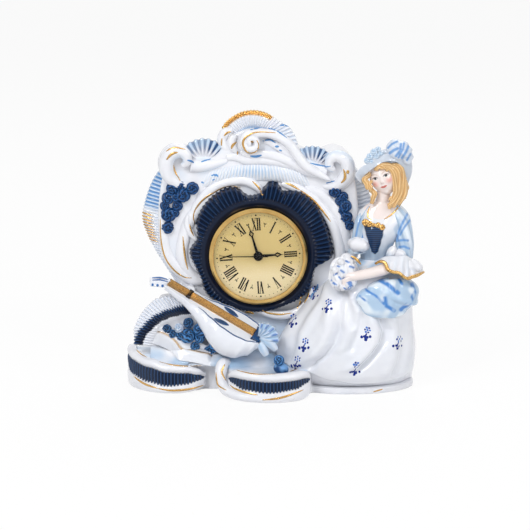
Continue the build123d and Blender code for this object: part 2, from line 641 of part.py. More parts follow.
for x, y in ((third_x, third_y), (step_x, step_y), (rotor_x, rotor_y)):
    cup = cup - disc(ARBOR_R + RUN, -1, PIVOT_DEPTH, x, y)
cup = cup - disc(SET_R + RUN, -1, PIVOT_DEPTH, knob_x, knob_y)
cup = cup + disc(STUD_R, -4.2, 0, minute_x, minute_y)
GROOVE_Z = -6.0
cup = cup - (disc(CUP_R + 1, GROOVE_Z, GROOVE_Z + 3) - disc(CUP_R - 0.6, GROOVE_Z - 1, GROOVE_Z + 4))
parts["insert_cup"] = cup
parts["retaining_ring"] = spin([
    (CUP_R - 0.6, GROOVE_Z), (TUNNEL_R - RING_GAP - 0.4, GROOVE_Z), (TUNNEL_R - RING_GAP, GROOVE_Z + 0.5),
    (TUNNEL_R - RING_GAP, GROOVE_Z + 2.5),
    (TUNNEL_R - RING_GAP - 0.4, GROOVE_Z + 3), (CUP_R - 0.6, GROOVE_Z + 3),
])

# Dial, its spacer, the lens and the bezel that clamps them to the cup flange
dial_z = FLANGE_T + DIAL_T
rehaut_z = dial_z + REHAUT_T
lens_z = rehaut_z + LENS_T
parts["dial_plate"] = disc(DIAL_R, FLANGE_T, dial_z) - disc(HOUR_PIPE_R + 0.6, 0, dial_z + 1)
parts["rehaut_ring"] = spin([
    (DIAL_R - 0.9, dial_z), (DIAL_R, dial_z), (DIAL_R, rehaut_z), (DIAL_R - 0.5, rehaut_z),
])


def dome(r, z, rise):
    """A shallow cap whose rim lies at level z and radius r."""
    sphere_r = (r * r + rise * rise) / (2 * rise)
    cap = Pos(0, 0, z + rise - sphere_r) * Sphere(sphere_r)
    return cap & disc(r, z, z + rise + 1)


lens_edge = DIAL_R
lens_solid = disc(lens_edge, rehaut_z, lens_z) + dome(lens_edge - 1.6, lens_z, LENS_RISE)
lens_inside = disc(lens_edge - 1.6, rehaut_z - 1, rehaut_z) + dome(lens_edge - 1.6, rehaut_z, LENS_RISE)
parts["lens"] = lens_solid - lens_inside
bezel_in = lens_edge - 1.2
parts["bezel"] = spin([
    (FLANGE_R + BEZEL_GAP, 0), (BEZEL_R, 0), (BEZEL_R, BEZEL_H - 3.2), (BEZEL_R - 0.8, BEZEL_H - 1.2),
    (BEZEL_R - 2.0, BEZEL_H), (bezel_in + 0.3, BEZEL_H - 0.2), (bezel_in, lens_z + 0.3),
    (bezel_in, lens_z), (FLANGE_R + BEZEL_GAP, lens_z),
])

# Bridge, rear cover, screws
bridge = disc(CUP_R - CUP_WALL - RUN, BRIDGE_Z, BRIDGE_TOP)
for x, y in ((third_x, third_y), (step_x, step_y)):
    bridge = bridge - disc(ARBOR_R + RUN, BRIDGE_Z - 1, BRIDGE_TOP + 1, x, y)
bridge = bridge - disc(SECOND_R + RUN, BRIDGE_Z - 1, BRIDGE_TOP + 1)
bridge = bridge - disc(ARBOR_R + RUN, BRIDGE_Z - 1, BRIDGE_TOP + 1, rotor_x, rotor_y)
bridge = bridge - disc(SET_R + RUN, BRIDGE_Z - 1, BRIDGE_TOP + 1, knob_x, knob_y)
for x, y in screw_spots:
    bridge = bridge - disc(SCREW_R + RUN, BRIDGE_Z - 1, BRIDGE_TOP + 1, x, y)
BOARD_X, BOARD_Y, BOARD_W, BOARD_H = -13.0, 4.0, 18.0, 12.0
BOARD_Z = BRIDGE_Z - 1.8
for x, y in ((BOARD_X - 7, BOARD_Y - 4), (BOARD_X + 7, BOARD_Y + 4)):
    bridge = bridge + disc(1.2, BOARD_Z, BRIDGE_Z, x, y)
STATOR_TOP = BRIDGE_Z - 2.4
STATOR_T = 1.0
stator_spots = ((rotor_x - 5.5, rotor_y - 3), (rotor_x + 5.5, rotor_y - 3), (rotor_x - 5.5, rotor_y + 9))
for x, y in stator_spots:
    bridge = bridge + disc(1.0, STATOR_TOP, BRIDGE_Z, x, y)
parts["train_bridge"] = bridge

CELL_Z = BRIDGE_Z - 1.0
CELL_LOW = CELL_Z - CELL_H
POCKET_TOP = CELL_Z - 0.2
cover = disc(CUP_R - CUP_WALL - RUN, -CUP_DEPTH, COVER_TOP)
cover = cover + disc(POCKET_R, COVER_TOP, POCKET_TOP, CELL_X, CELL_Y)
for x, y in screw_spots:
    cover = cover + disc(2.0, COVER_TOP, BRIDGE_Z, x, y)
    cover = cover - disc(SCREW_R + RUN, -CUP_DEPTH - 1, BRIDGE_Z + 1, x, y)
    cover = cover - disc(2.0 * SCREW_R + RUN, -CUP_DEPTH - 1, COVER_TOP - 0.6, x, y)
cover = cover - disc(CELL_R + 0.25, -CUP_DEPTH - 1, BRIDGE_Z, CELL_X, CELL_Y)
HATCH_R = POCKET_R - 0.4
cover = cover - disc(HATCH_R + 0.1, -CUP_DEPTH - 1, COVER_TOP - 0.5, CELL_X, CELL_Y)
cover = cover - disc(SET_R + RUN, -CUP_DEPTH - 1, COVER_TOP + 1, knob_x, knob_y)
BEARING_TOP = COVER_TOP + 1.8
cover = cover + disc(ARBOR_R + 0.9, COVER_TOP, BEARING_TOP, rotor_x, rotor_y)
cover = cover - disc(ARBOR_R + RUN, COVER_TOP + 0.4, BEARING_TOP + 1, rotor_x, rotor_y)
STRAP_Z = BOARD_Z - 1.0
cover = cover - Pos(CELL_X, CELL_Y + CELL_R + 1, STRAP_Z - 1.0) * Box(6, 4, 4)
parts["rear_cover"] = cover
screws = []
for x, y in screw_spots:
    shank = disc(SCREW_R, COVER_TOP - 0.6, BRIDGE_TOP + 3.4, x, y)
    screw_head = disc(2.0 * SCREW_R, -CUP_DEPTH + 0.1, COVER_TOP - 0.6, x, y)
    slot = Pos(x, y, -CUP_DEPTH + 0.1) * Box(4, 0.5, 0.5)
    screws.append(shank + screw_head - slot)
parts["cover_screws"] = Compound(screws)
hatch = disc(HATCH_R, -CUP_DEPTH, COVER_TOP - 0.5, CELL_X, CELL_Y)
hatch = hatch + disc(CELL_R, COVER_TOP - 0.5, CELL_LOW - 0.1, CELL_X, CELL_Y)
parts["battery_hatch"] = hatch - Pos(CELL_X, CELL_Y, -CUP_DEPTH) * Box(8, 1.4, 0.9)
cell = disc(CELL_R, CELL_LOW, CELL_Z - 0.5, CELL_X, CELL_Y)
parts["button_cell"] = cell + disc(CELL_R - 1, CELL_Z - 0.5, CELL_Z, CELL_X, CELL_Y)
leaf_l = BOARD_Y - CELL_Y - 1
leaf = Pos(CELL_X - 1, CELL_Y + 2 + leaf_l / 2, CELL_Z + 0.2) * Box(3, leaf_l, 0.4)
leaf_foot = Pos(CELL_X - 1, CELL_Y + 1.5 + leaf_l, (BOARD_Z + CELL_Z) / 2) * Box(3, 1.0, CELL_Z - BOARD_Z)
minus = leaf + leaf_foot
spring = Pos(CELL_X, CELL_Y + CELL_R + 0.2, STRAP_Z - 1.2) * Box(5, 0.4, 2.4)
strap_l = BOARD_Y - BOARD_H / 2 + 2 - (CELL_Y + CELL_R)
strap = Pos(CELL_X + 1.5, CELL_Y + CELL_R + strap_l / 2, STRAP_Z - 0.2) * Box(2, strap_l, 0.4)
parts["cell_contacts"] = Compound([minus, spring + strap])

# Board, quartz, stator and coil
board_plate = Pos(BOARD_X, BOARD_Y, BOARD_Z - 0.5) * Box(BOARD_W, BOARD_H, 1.0)
blob = Pos(BOARD_X + 4, BOARD_Y + 1, BOARD_Z - 1.0) * Sphere(2.2)
blob = blob & Pos(BOARD_X, BOARD_Y, BOARD_Z - 3.0) * Box(BOARD_W, BOARD_H, 4.0)
parts["circuit_board"] = board_plate + blob
can = Pos(BOARD_X - 3, BOARD_Y + 3.6, BOARD_Z - 2.0) * Rot(0, 90, 0) * Cylinder(1.0, 6.0)
parts["quartz_can"] = can
MAGNET_R = 3.0
COIL_Y = rotor_y + 15.0
stator = Pos(rotor_x, rotor_y, STATOR_TOP - STATOR_T / 2) * Box(14, 9, STATOR_T)
for side in (-5.5, 5.5):
    stator = stator + Pos(rotor_x + side, rotor_y + 10.5, STATOR_TOP - STATOR_T / 2) * Box(3, 13, STATOR_T)
stator = stator + Pos(rotor_x, COIL_Y, STATOR_TOP - STATOR_T / 2) * Box(14, 2.0, STATOR_T)
stator = stator - disc(MAGNET_R + 0.4, STATOR_TOP - 2, STATOR_TOP + 1, rotor_x, rotor_y)
parts["stator"] = stator
across = Pos(rotor_x, COIL_Y, STATOR_TOP - STATOR_T / 2) * Rot(0, 90, 0)
slot_bar = Pos(rotor_x, COIL_Y, STATOR_TOP - STATOR_T / 2) * Box(20, 2.0, STATOR_T)
cheek = Cylinder(2.6, 0.5)
bobbin = across * (Cylinder(1.5, 7.6) + Pos(0, 0, -3.55) * cheek + Pos(0, 0, 3.55) * cheek)
parts["coil_bobbin"] = bobbin - slot_bar
parts["coil_winding"] = across * (Cylinder(2.4, 6.6) - Cylinder(1.5, 8))

# Train, from the rotor to the hour pipe
PHASE = 0.0
rotor = toothed(ROTOR_N, M_ROTOR, PHASE, -11.2, -9.9, rotor_x, rotor_y)
rotor = rotor + disc(ARBOR_R, COVER_TOP + 0.6, PIVOT_DEPTH - 0.2, rotor_x, rotor_y)
rotor = rotor + disc(MAGNET_R, -16.4, -13.2, rotor_x, rotor_y)
parts["rotor"] = rotor
step_phase = mesh_phase(ROTOR_N, PHASE, STEP_N, ROTOR_DIR + 180)
STEP_PINION_PHASE = 7.0
step_wheel = toothed(STEP_N, M_ROTOR, step_phase, -10.9, -10.2, step_x, step_y)
step_wheel = step_wheel + toothed(STEP_PINION_N, M_STEP, STEP_PINION_PHASE, -10.2, -8.0, step_x, step_y)
step_wheel = step_wheel + disc(ARBOR_R, BRIDGE_Z + 0.1, PIVOT_DEPTH - 0.2, step_x, step_y)
parts["step_wheel"] = step_wheel
second_phase = mesh_phase(STEP_PINION_N, STEP_PINION_PHASE, SECOND_N, STEP_DIR + 180)
seconds = toothed(SECOND_N, M_STEP, second_phase, -9.2, -8.5)
seconds = seconds + toothed(SECOND_PINION_N, M_SECOND, 0.0, -8.5, -6.2)
SECOND_TOP = 4.7
parts["seconds_wheel"] = seconds + disc(SECOND_R, BRIDGE_Z + 0.1, SECOND_TOP)
third_phase = mesh_phase(SECOND_PINION_N, 0.0, THIRD_N, THIRD_DIR)
THIRD_PINION_PHASE = 4.0
third = toothed(THIRD_N, M_SECOND, third_phase, -7.5, -6.8, third_x, third_y)
third = third + toothed(THIRD_PINION_N, M_THIRD, THIRD_PINION_PHASE, -6.8, -4.5, third_x, third_y)
parts["third_wheel"] = third + disc(ARBOR_R, BRIDGE_Z + 0.1, PIVOT_DEPTH - 0.2, third_x, third_y)
centre_phase = mesh_phase(THIRD_PINION_N, THIRD_PINION_PHASE, CENTRE_N, THIRD_DIR + 180)
CANNON_TOP = 4.1
CANNON_PHASE = 5.0
centre = toothed(CENTRE_N, M_THIRD, centre_phase, -5.7, -5.0)
centre = centre + toothed(CANNON_N, M_MOTION, CANNON_PHASE, -5.0, -1.9)
centre = centre + disc(CANNON_R, -5.7, CANNON_TOP)
parts["centre_wheel"] = centre - disc(SECOND_R + PIPE_GAP, -7, CANNON_TOP + 1)
minute_phase = mesh_phase(CANNON_N, CANNON_PHASE, MINUTE_N, MINUTE_DIR)
MINUTE_PINION_PHASE = 3.0
minute = toothed(MINUTE_N, M_MOTION, minute_phase, -3.2, -2.4, minute_x, minute_y)
minute = minute + toothed(MINUTE_PINION_N, M_HOUR, MINUTE_PINION_PHASE, -2.4, -0.3, minute_x, minute_y)
parts["minute_wheel"] = minute - disc(STUD_R + RUN, -4, 1, minute_x, minute_y)
hour_phase = mesh_phase(MINUTE_PINION_N, MINUTE_PINION_PHASE, HOUR_N, MINUTE_DIR + 180)
HOUR_TOP = 3.1
hour = toothed(HOUR_N, M_HOUR, hour_phase, -1.5, -0.6) + disc(HOUR_PIPE_R, -1.5, HOUR_TOP)
parts["hour_wheel"] = hour - disc(CANNON_R + PIPE_GAP, -3, HOUR_TOP + 1)
set_phase = mesh_phase(MINUTE_N, minute_phase, SET_N, MINUTE_DIR)
knob = toothed(SET_N, M_MOTION, set_phase, -3.3, -2.3, knob_x, knob_y)
knob = knob + disc(SET_R, -CUP_DEPTH - 1, PIVOT_DEPTH - 0.2, knob_x, knob_y)
grip = disc(KNOB_R, -CUP_DEPTH - 0.6 - KNOB_L, -CUP_DEPTH - 0.6, knob_x, knob_y)
for k in range(12):
    x, y = along(knob_x, knob_y, 30 * k, KNOB_R + 0.5)
    grip = grip - disc(0.9, -CUP_DEPTH - KNOB_L - 1, -CUP_DEPTH, x, y)
parts["setting_knob"] = knob + grip

# Hands at three minutes to three, pushed on their pipes
HAND_T = 0.3


def hand(boss_r, bore_r, body, eye, tip, width, angle, low):
    """A tapered hand with an open diamond before its point."""
    waist = width * 0.55
    blade = Polygon((width, 0), (waist, body), (0, body + 0.8), (-waist, body), (-width, 0), align=None)
    gem = Polygon((0, eye - 3.0), (1.9, eye), (0, eye + 3.2), (-1.9, eye), align=None)
    hole = Polygon((0, eye - 1.5), (0.85, eye), (0, eye + 1.6), (-0.85, eye), align=None)
    point = Polygon((0.6, body), (0.5, eye), (0, tip), (-0.5, eye), (-0.6, body), align=None)
    outline = blade + (gem + point - hole) + Circle(boss_r) - Circle(bore_r)
    return Pos(0, 0, low) * Rot(0, 0, -angle) * extrude(outline, HAND_T)


MINUTES = 57.0
SECONDS = 45.5
minute_angle = 6 * (MINUTES + SECONDS / 60)
hour_angle = 30 * (2 + (MINUTES + SECONDS / 60) / 60)
parts["hour_hand"] = hand(3.4, HOUR_PIPE_R, 10.6, 13.8, 19.0, 1.25, hour_angle, HOUR_TOP - HAND_T)
parts["minute_hand"] = hand(3.0, CANNON_R, 13.8, 17.0, 25.2, 1.15, minute_angle, CANNON_TOP - HAND_T)
needle = Polygon((-0.45, -7), (0.45, -7), (0.22, 24.5), (-0.22, 24.5), align=None) + Circle(3.2)
second_hand = Pos(0, 0, SECOND_TOP - HAND_T) * Rot(0, 0, -6 * SECONDS) * extrude(needle, HAND_T)
cap = dome(3.2, SECOND_TOP, 1.5)
parts["second_hand"] = second_hand + cap - disc(SECOND_R, 0, SECOND_TOP)

INSERT_NODES = (
    "insert_cup retaining_ring dial_plate rehaut_ring lens bezel train_bridge rear_cover cover_screws "
    "battery_hatch button_cell cell_contacts circuit_board quartz_can stator "
    "coil_bobbin coil_winding rotor step_wheel seconds_wheel third_wheel centre_wheel minute_wheel "
    "hour_wheel setting_knob hour_hand minute_hand second_hand"
).split()
os.makedirs("parts", exist_ok=True)
for name, shape in parts.items():
    placed = insert * shape if name in INSERT_NODES else shape
    export_step(placed, f"parts/{name}.step")
    print(name, len(placed.solids()), round(placed.volume), placed.bounding_box().size)
for name, x, y in (("rotor", rotor_x, rotor_y), ("step", step_x, step_y), ("third", third_x, third_y),
                   ("minute", minute_x, minute_y), ("knob", knob_x, knob_y), ("cell", CELL_X, CELL_Y)):
    print("axis", name, (insert * Location((x, y, 0))).position)
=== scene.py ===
import json
import random
from math import atan2, copysign, cos, exp, hypot, pi, radians, sin, sqrt

import bmesh
import bpy
from mathutils import Matrix, Vector, noise
from mathutils.bvhtree import BVHTree

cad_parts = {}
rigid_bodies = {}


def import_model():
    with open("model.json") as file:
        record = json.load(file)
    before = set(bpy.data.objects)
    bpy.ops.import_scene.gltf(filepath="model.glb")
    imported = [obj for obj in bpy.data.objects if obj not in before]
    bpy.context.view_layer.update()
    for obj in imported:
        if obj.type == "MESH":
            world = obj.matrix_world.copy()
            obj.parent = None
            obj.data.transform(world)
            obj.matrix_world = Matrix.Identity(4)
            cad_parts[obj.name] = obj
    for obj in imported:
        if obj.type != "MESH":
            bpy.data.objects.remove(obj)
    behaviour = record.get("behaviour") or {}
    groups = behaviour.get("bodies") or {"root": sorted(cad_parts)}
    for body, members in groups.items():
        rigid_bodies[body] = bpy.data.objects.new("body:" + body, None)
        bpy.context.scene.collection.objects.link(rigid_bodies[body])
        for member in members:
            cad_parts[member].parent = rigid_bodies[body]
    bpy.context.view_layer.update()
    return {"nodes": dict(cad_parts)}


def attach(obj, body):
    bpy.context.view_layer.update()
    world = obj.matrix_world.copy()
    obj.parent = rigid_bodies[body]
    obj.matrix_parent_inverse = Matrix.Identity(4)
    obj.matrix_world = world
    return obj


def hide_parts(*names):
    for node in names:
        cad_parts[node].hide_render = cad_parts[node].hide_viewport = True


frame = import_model()

# Camera: a long lens a little above the dial, square to the front, as for a catalogue picture.
# The same line of sight places the painted lines of the front, which end on the glaze they hit.
MM = 0.001
EYE_RISE = radians(12)
EYE_REACH = 1700 * MM
VIEW_WIDTH = 381.6 * MM
VIEW_UNITS = 530
ahead = Vector((0, cos(EYE_RISE), -sin(EYE_RISE)))
upward = Vector((0, sin(EYE_RISE), cos(EYE_RISE)))
eye = Vector((-7.2, 0, 90.2)) * MM - ahead * EYE_REACH
lens = bpy.data.cameras.new("camera")
lens.sensor_width = 36
lens.lens = lens.sensor_width * EYE_REACH / VIEW_WIDTH
camera = bpy.data.objects.new("camera", lens)
camera.location = eye
camera.rotation_euler = (pi / 2 - EYE_RISE, 0, 0)
bpy.context.collection.objects.link(camera)
bpy.context.scene.camera = camera
bpy.context.scene.view_settings.view_transform = "Standard"


def sight(x, y):
    """The line from the eye through a spot of the front view, 530 units wide."""
    across = (x - VIEW_UNITS / 2) / VIEW_UNITS * VIEW_WIDTH / EYE_REACH
    rise = (VIEW_UNITS / 2 - y) / VIEW_UNITS * VIEW_WIDTH / EYE_REACH
    return (ahead + Vector((across, 0, 0)) + rise * upward).normalized()


def seen(x, y, depth):
    """The place in millimetres behind a spot of the front view, at a given depth."""
    line = sight(x, y)
    return (eye + line * ((depth * MM - eye.y) / line.y)) / MM


# Studio: a pale floor and white surroundings, a broad soft light from the upper left,
# a weaker one from the right, one from behind that lifts the edges and three small lamps that
# set glints on the glaze.
class Tone:
    """A value of a finish while it is mixed. Sums and products of tones add Math nodes."""

    def __init__(self, tree, socket):
        self.tree = tree
        self.socket = socket

    def add(self, kind, settings=None, sockets=None, out=0):
        """Any node: its settings are set first, then its sockets get values or links."""
        made = self.tree.nodes.new(kind)
        for key, value in (settings or {}).items():
            if key == "stops":
                while len(made.color_ramp.elements) < len(value):
                    made.color_ramp.elements.new(0.5)
                for stop, (spot, shade) in zip(made.color_ramp.elements, value):
                    stop.position = spot
                    stop.color = (*shade, 1)
            else:
                setattr(made, key, value)
        for key, value in (sockets or {}).items():
            if isinstance(value, Tone):
                self.tree.links.new(value.socket, made.inputs[key])
            else:
                made.inputs[key].default_value = value
        return Tone(self.tree, made.outputs[out]) if len(made.outputs) else None

    def maths(self, operation, *values):
        return self.add("ShaderNodeMath", {"operation": operation}, dict(enumerate(values)))

    def __add__(self, other):
        return self.maths("ADD", self, other)

    def __radd__(self, other):
        return self.maths("ADD", other, self)

    def __sub__(self, other):
        return self.maths("SUBTRACT", self, other)

    def __mul__(self, other):
        return self.maths("MULTIPLY", self, other)

    def speckle(self, size, detail=2.0, stretch=(1, 1, 1)):
        """Cloudy noise with patches of about a size in millimetres."""
        scaled = self.add("ShaderNodeMapping", {}, {"Vector": self, "Scale": stretch})
        sockets = {"Vector": scaled, "Scale": 1 / (size * MM), "Detail": detail}
        return self.add("ShaderNodeTexNoise", {}, sockets)

    def shades(self, *stops):
        return self.add("ShaderNodeValToRGB", {"stops": stops}, {"Fac": self})

    def blend(self, first, second):
        """Two colours mixed by this tone."""
        return self.add("ShaderNodeMix", {"data_type": "RGBA"}, {0: self, 6: first, 7: second}, out=2)

    def shown(self):
        """1 on the rays that show the background: seen, mirrored or through glass."""
        kinds = "Is Camera Ray", "Is Glossy Ray", "Is Transmission Ray"
        seen_ray, glossy_ray, clear_ray = (self.add("ShaderNodeLightPath", out=kind) for kind in kinds)
        return seen_ray + glossy_ray + clear_ray

    def surface(self, colour, rough, bump, depth, **sockets):
        """The finish's shader, with a bump of a depth in millimetres."""
        normal = self.add("ShaderNodeBump", {}, {"Height": bump, "Distance": depth * MM, "Strength": 1.0})
        values = {"Base Color": colour, "Roughness": rough, "Normal": normal}
        values.update({key.replace("_", " "): value for key, value in sockets.items()})
        return self.add("ShaderNodeBsdfPrincipled", {}, values)

    def end(self, shader):
        self.add("ShaderNodeOutputMaterial", {}, {"Surface": shader})


def start(name):
    """A new finish and the tone of its place on the piece."""
    material = bpy.data.materials.new(name)
    material.use_nodes = True
    material.node_tree.nodes.clear()
    return material, Tone(material.node_tree, None).add("ShaderNodeTexCoord", out="Object")


def placed(name, form, finish):
    """An object made from a form, with its finish."""
    mesh = bpy.data.meshes.new(name)
    form.to_mesh(mesh)
    form.free()
    mesh.materials.append(finish)
    made = bpy.data.objects.new(name, mesh)
    bpy.context.collection.objects.link(made)
    return made


FLOOR_HALF = 4.0
FLOOR_GLOW = 0.92
AMBIENT = 0.36
LAMP_TARGET = Vector((0, 0, 0.1))
paper, place = start("floor_paper")
grain = place.speckle(30.0)
matt = place.surface(grain.shades((0, (0.90, 0.90, 0.90)), (1, (0.94, 0.94, 0.94))), 0.9, grain, 0.05)
glow = place.add("ShaderNodeEmission", {}, {"Color": (1, 1, 1, 1), "Strength": 1.0})
place.end(place.add("ShaderNodeMixShader", {}, {0: place.shown() * FLOOR_GLOW, 1: matt, 2: glow}))
plane = bmesh.new()
bmesh.ops.create_grid(plane, x_segments=2, y_segments=2, size=FLOOR_HALF)
floor = placed("floor", plane, paper)

world = bpy.data.worlds.new("studio")
bpy.context.scene.world = world
world.use_nodes = True
world.node_tree.nodes.clear()
sky = Tone(world.node_tree, None)
strength = AMBIENT + sky.shown() * (1 - AMBIENT)
air = sky.add("ShaderNodeBackground", {}, {"Color": (1, 1, 1, 1), "Strength": strength})
sky.add("ShaderNodeOutputWorld", {}, {"Surface": air})

for name, spot, width, power in (
    ("key_light", (-0.75, -1.05, 1.25), 0.45, 9.2),
    ("fill_light", (1.15, -0.9, 0.7), 0.5, 4.0),
    ("edge_light", (0.2, 0.9, 1.2), 0.9, 6.0),
    ("left_glint", (-0.55, -1.1, 0.85), 0.12, 2.6),
    ("right_glint", (0.6, -1.0, 0.95), 0.10, 2.0),
    ("high_glint", (0.05, -0.75, 1.35), 0.10, 1.8),
):
    lamp = bpy.data.lights.new(name, "AREA")
    lamp.size = width
    lamp.energy = power
    light = bpy.data.objects.new(name, lamp)
    light.location = spot
    light.rotation_euler = (LAMP_TARGET - Vector(spot)).to_track_quat("-Z", "Y").to_euler()
    bpy.context.collection.objects.link(light)

# Plinth: the foot with its two front lobes, the low step under the skirt and the modelled ground.
# Slip-cast porcelain; the white glaze has run soft over the edges and is washed pale blue on the
# ground.
WHITE = (0.83, 0.84, 0.88)
WASH = (0.40, 0.57, 0.76)
PALE = (0.64, 0.74, 0.86)
COBALT = (0.0035, 0.011, 0.034)
COBALT_THIN = (0.018, 0.078, 0.22)
GOLD = (0.70, 0.45, 0.17)


def mixed(first, second, share):
    """Two colours or places mixed, number by number."""
    share = min(max(share, 0.0), 1.0)
    return tuple(a + (b - a) * share for a, b in zip(first, second))


def ease(low, high, value):
    """0 below low, 1 above high, and smooth between."""
    t = min(max((value - low) / (high - low), 0.0), 1.0)
    return t * t * (3 - 2 * t)


def hump(value, middle, width):
    """A smooth bump of height 1."""
    return exp(-((value - middle) / width) ** 2)


def cloud(x, y, z, size):
    return noise.noise(Vector((x, y, z)) / size)


def along(knots, t, ring=False):
    """The values a share t along a smooth line through knots."""
    spans = len(knots) if ring else len(knots) - 1
    reach = min(max(t, 0.0), 1.0) * spans
    first = min(int(reach), spans - 1)
    f = reach - first
    if ring:
        picks = [knots[(first + k) % len(knots)] for k in (-1, 0, 1, 2)]
    else:
        picks = [knots[min(max(first + k, 0), spans)] for k in (-1, 0, 1, 2)]
    return [
        0.5 * (2 * q + (r - p) * f + (2 * p - 5 * q + 4 * r - s) * f * f + (3 * q - p - 3 * r + s) * f ** 3)
        for p, q, r, s in zip(*picks)
    ]


def rounded(share):
    """How full a rounded end is, a share of the way into it."""
    return sqrt(max(0.0, 1 - (1 - min(1.0, share)) ** 2))


def by_key(table, key):
    """The value at a key of a table of (key, value) in rising order."""
    if key <= table[0][0]:
        return table[0][1]
    for (low, a), (high, b) in zip(table, table[1:]):
        if key <= high:
            return a + (b - a) * ease(low, high, key)
    return table[-1][1]


def blank():
    """An empty form with layers for its colour and its gilding."""
    form = bmesh.new()
    form.verts.layers.float_color.new("paint")
    form.verts.layers.float.new("gilt")
    return form


def painted(vert, form, colour, gilt=0.0):
    vert[form.verts.layers.float_color["paint"]] = (*colour, 1)
    vert[form.verts.layers.float["gilt"]] = gilt


def skin(rows, cols, lay):
    """A form from a grid whose every point lay(u, v) gives as place, colour and any gilding."""
    form = blank()
    bmesh.ops.create_grid(form, x_segments=cols, y_segments=rows, size=0.5)
    for vert in form.verts:
        spot, colour, *gilt = lay(vert.co.x + 0.5, vert.co.y + 0.5)
        vert.co = Vector(spot) * MM
        painted(vert, form, colour, *gilt)
    bmesh.ops.remove_doubles(form, verts=form.verts, dist=0.002 * MM)
    bmesh.ops.recalc_face_normals(form, faces=form.faces)
    return form


def softened(nodes, voxel, rounds, colour):
    """A copy of solids made one, with edges run soft, painted by colour(x, y, z)."""
    whole = bmesh.new()
    for node in nodes:
        whole.from_mesh(frame["nodes"][node].data)
    bmesh.ops.remove_doubles(whole, verts=whole.verts, dist=0.002 * MM)
    mesh = bpy.data.meshes.new("spare")
    whole.to_mesh(mesh)
    whole.free()
    spare = bpy.data.objects.new("spare", mesh)
    bpy.context.collection.objects.link(spare)
    clay = spare.modifiers.new("clay", "REMESH")
    clay.mode = "VOXEL"
    clay.voxel_size = voxel * MM
    wet = spare.modifiers.new("wet", "SMOOTH")
    wet.factor = 0.5
    wet.iterations = rounds
    made = bpy.data.meshes.new_from_object(spare.evaluated_get(bpy.context.evaluated_depsgraph_get()))
    form = blank()
    form.from_mesh(made)
    for vert in form.verts:
        vert.co.z = max(vert.co.z, 0.0)
        painted(vert, form, colour(*(vert.co / MM)))
    bpy.data.objects.remove(spare)
    return form


def glaze(name, pool, gloss, shine=0.5):
    """Fired glaze over hand painting: clouded colour, fine orange peel, gilding worn thin."""
    material, spot = start(name)
    paint = spot.add("ShaderNodeAttribute", {"attribute_name": "paint"}, out="Color")
    gilt = spot.add("ShaderNodeAttribute", {"attribute_name": "gilt"}, out="Fac")
    patches = spot.speckle(9.0, 3.0)
    fine = spot.speckle(0.9, 2.0)
    tint = patches.shades((0.30, (1 - pool, 1 - pool, 1 - pool * 0.7)), (0.70, (1, 1, 1)))
    way = {"data_type": "RGBA", "blend_type": "MULTIPLY"}
    base = spot.add("ShaderNodeMix", way, {0: 1.0, 6: paint, 7: tint}, out=2)
    worn = fine.shades((0.35, (0.32, 0.16, 0.045)), (0.55, GOLD))
    colour = gilt.blend(base, worn)
    rough = gloss + patches * 0.05 + gilt * 0.10 + fine * gilt * 0.10
    peel = patches * 0.6 + fine * 0.4
    spot.end(spot.surface(colour, rough, peel, 0.10, Metallic=gilt, Specular_IOR_Level=shine))
    return material


white_glaze = glaze("white_glaze", 0.05, 0.07, 0.40)


def cast(name, forms, stands_for=(), finish=white_glaze):
    """One porcelain piece from its forms: joined, smooth and fixed to the body."""
    whole = blank()
    for form in forms:
        mesh = bpy.data.meshes.new("spare")
        form.to_mesh(mesh)
        whole.from_mesh(mesh)
        form.free()
        bpy.data.meshes.remove(mesh)
    piece = placed(name, whole, finish)
    piece.data.shade_smooth()
    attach(piece, "porcelain")
    if stands_for:
        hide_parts(*stands_for)


def ground_paint(x, y, z):
    wash = ease(17.5, 19.5, z) * ease(9, -2, y) * (0.55 + 0.9 * cloud(x, y, z, 13))
    shade = mixed(WHITE, WASH, wash * ease(-100, -80, x))
    return mixed(shade, PALE, 0.35 * ease(6, 0, z) * ease(-0.2, 0.5, cloud(x, y, z, 20)))


cast("plinth", [softened(["base_plinth"], 1.1, 6, ground_paint)], ["base_plinth"])

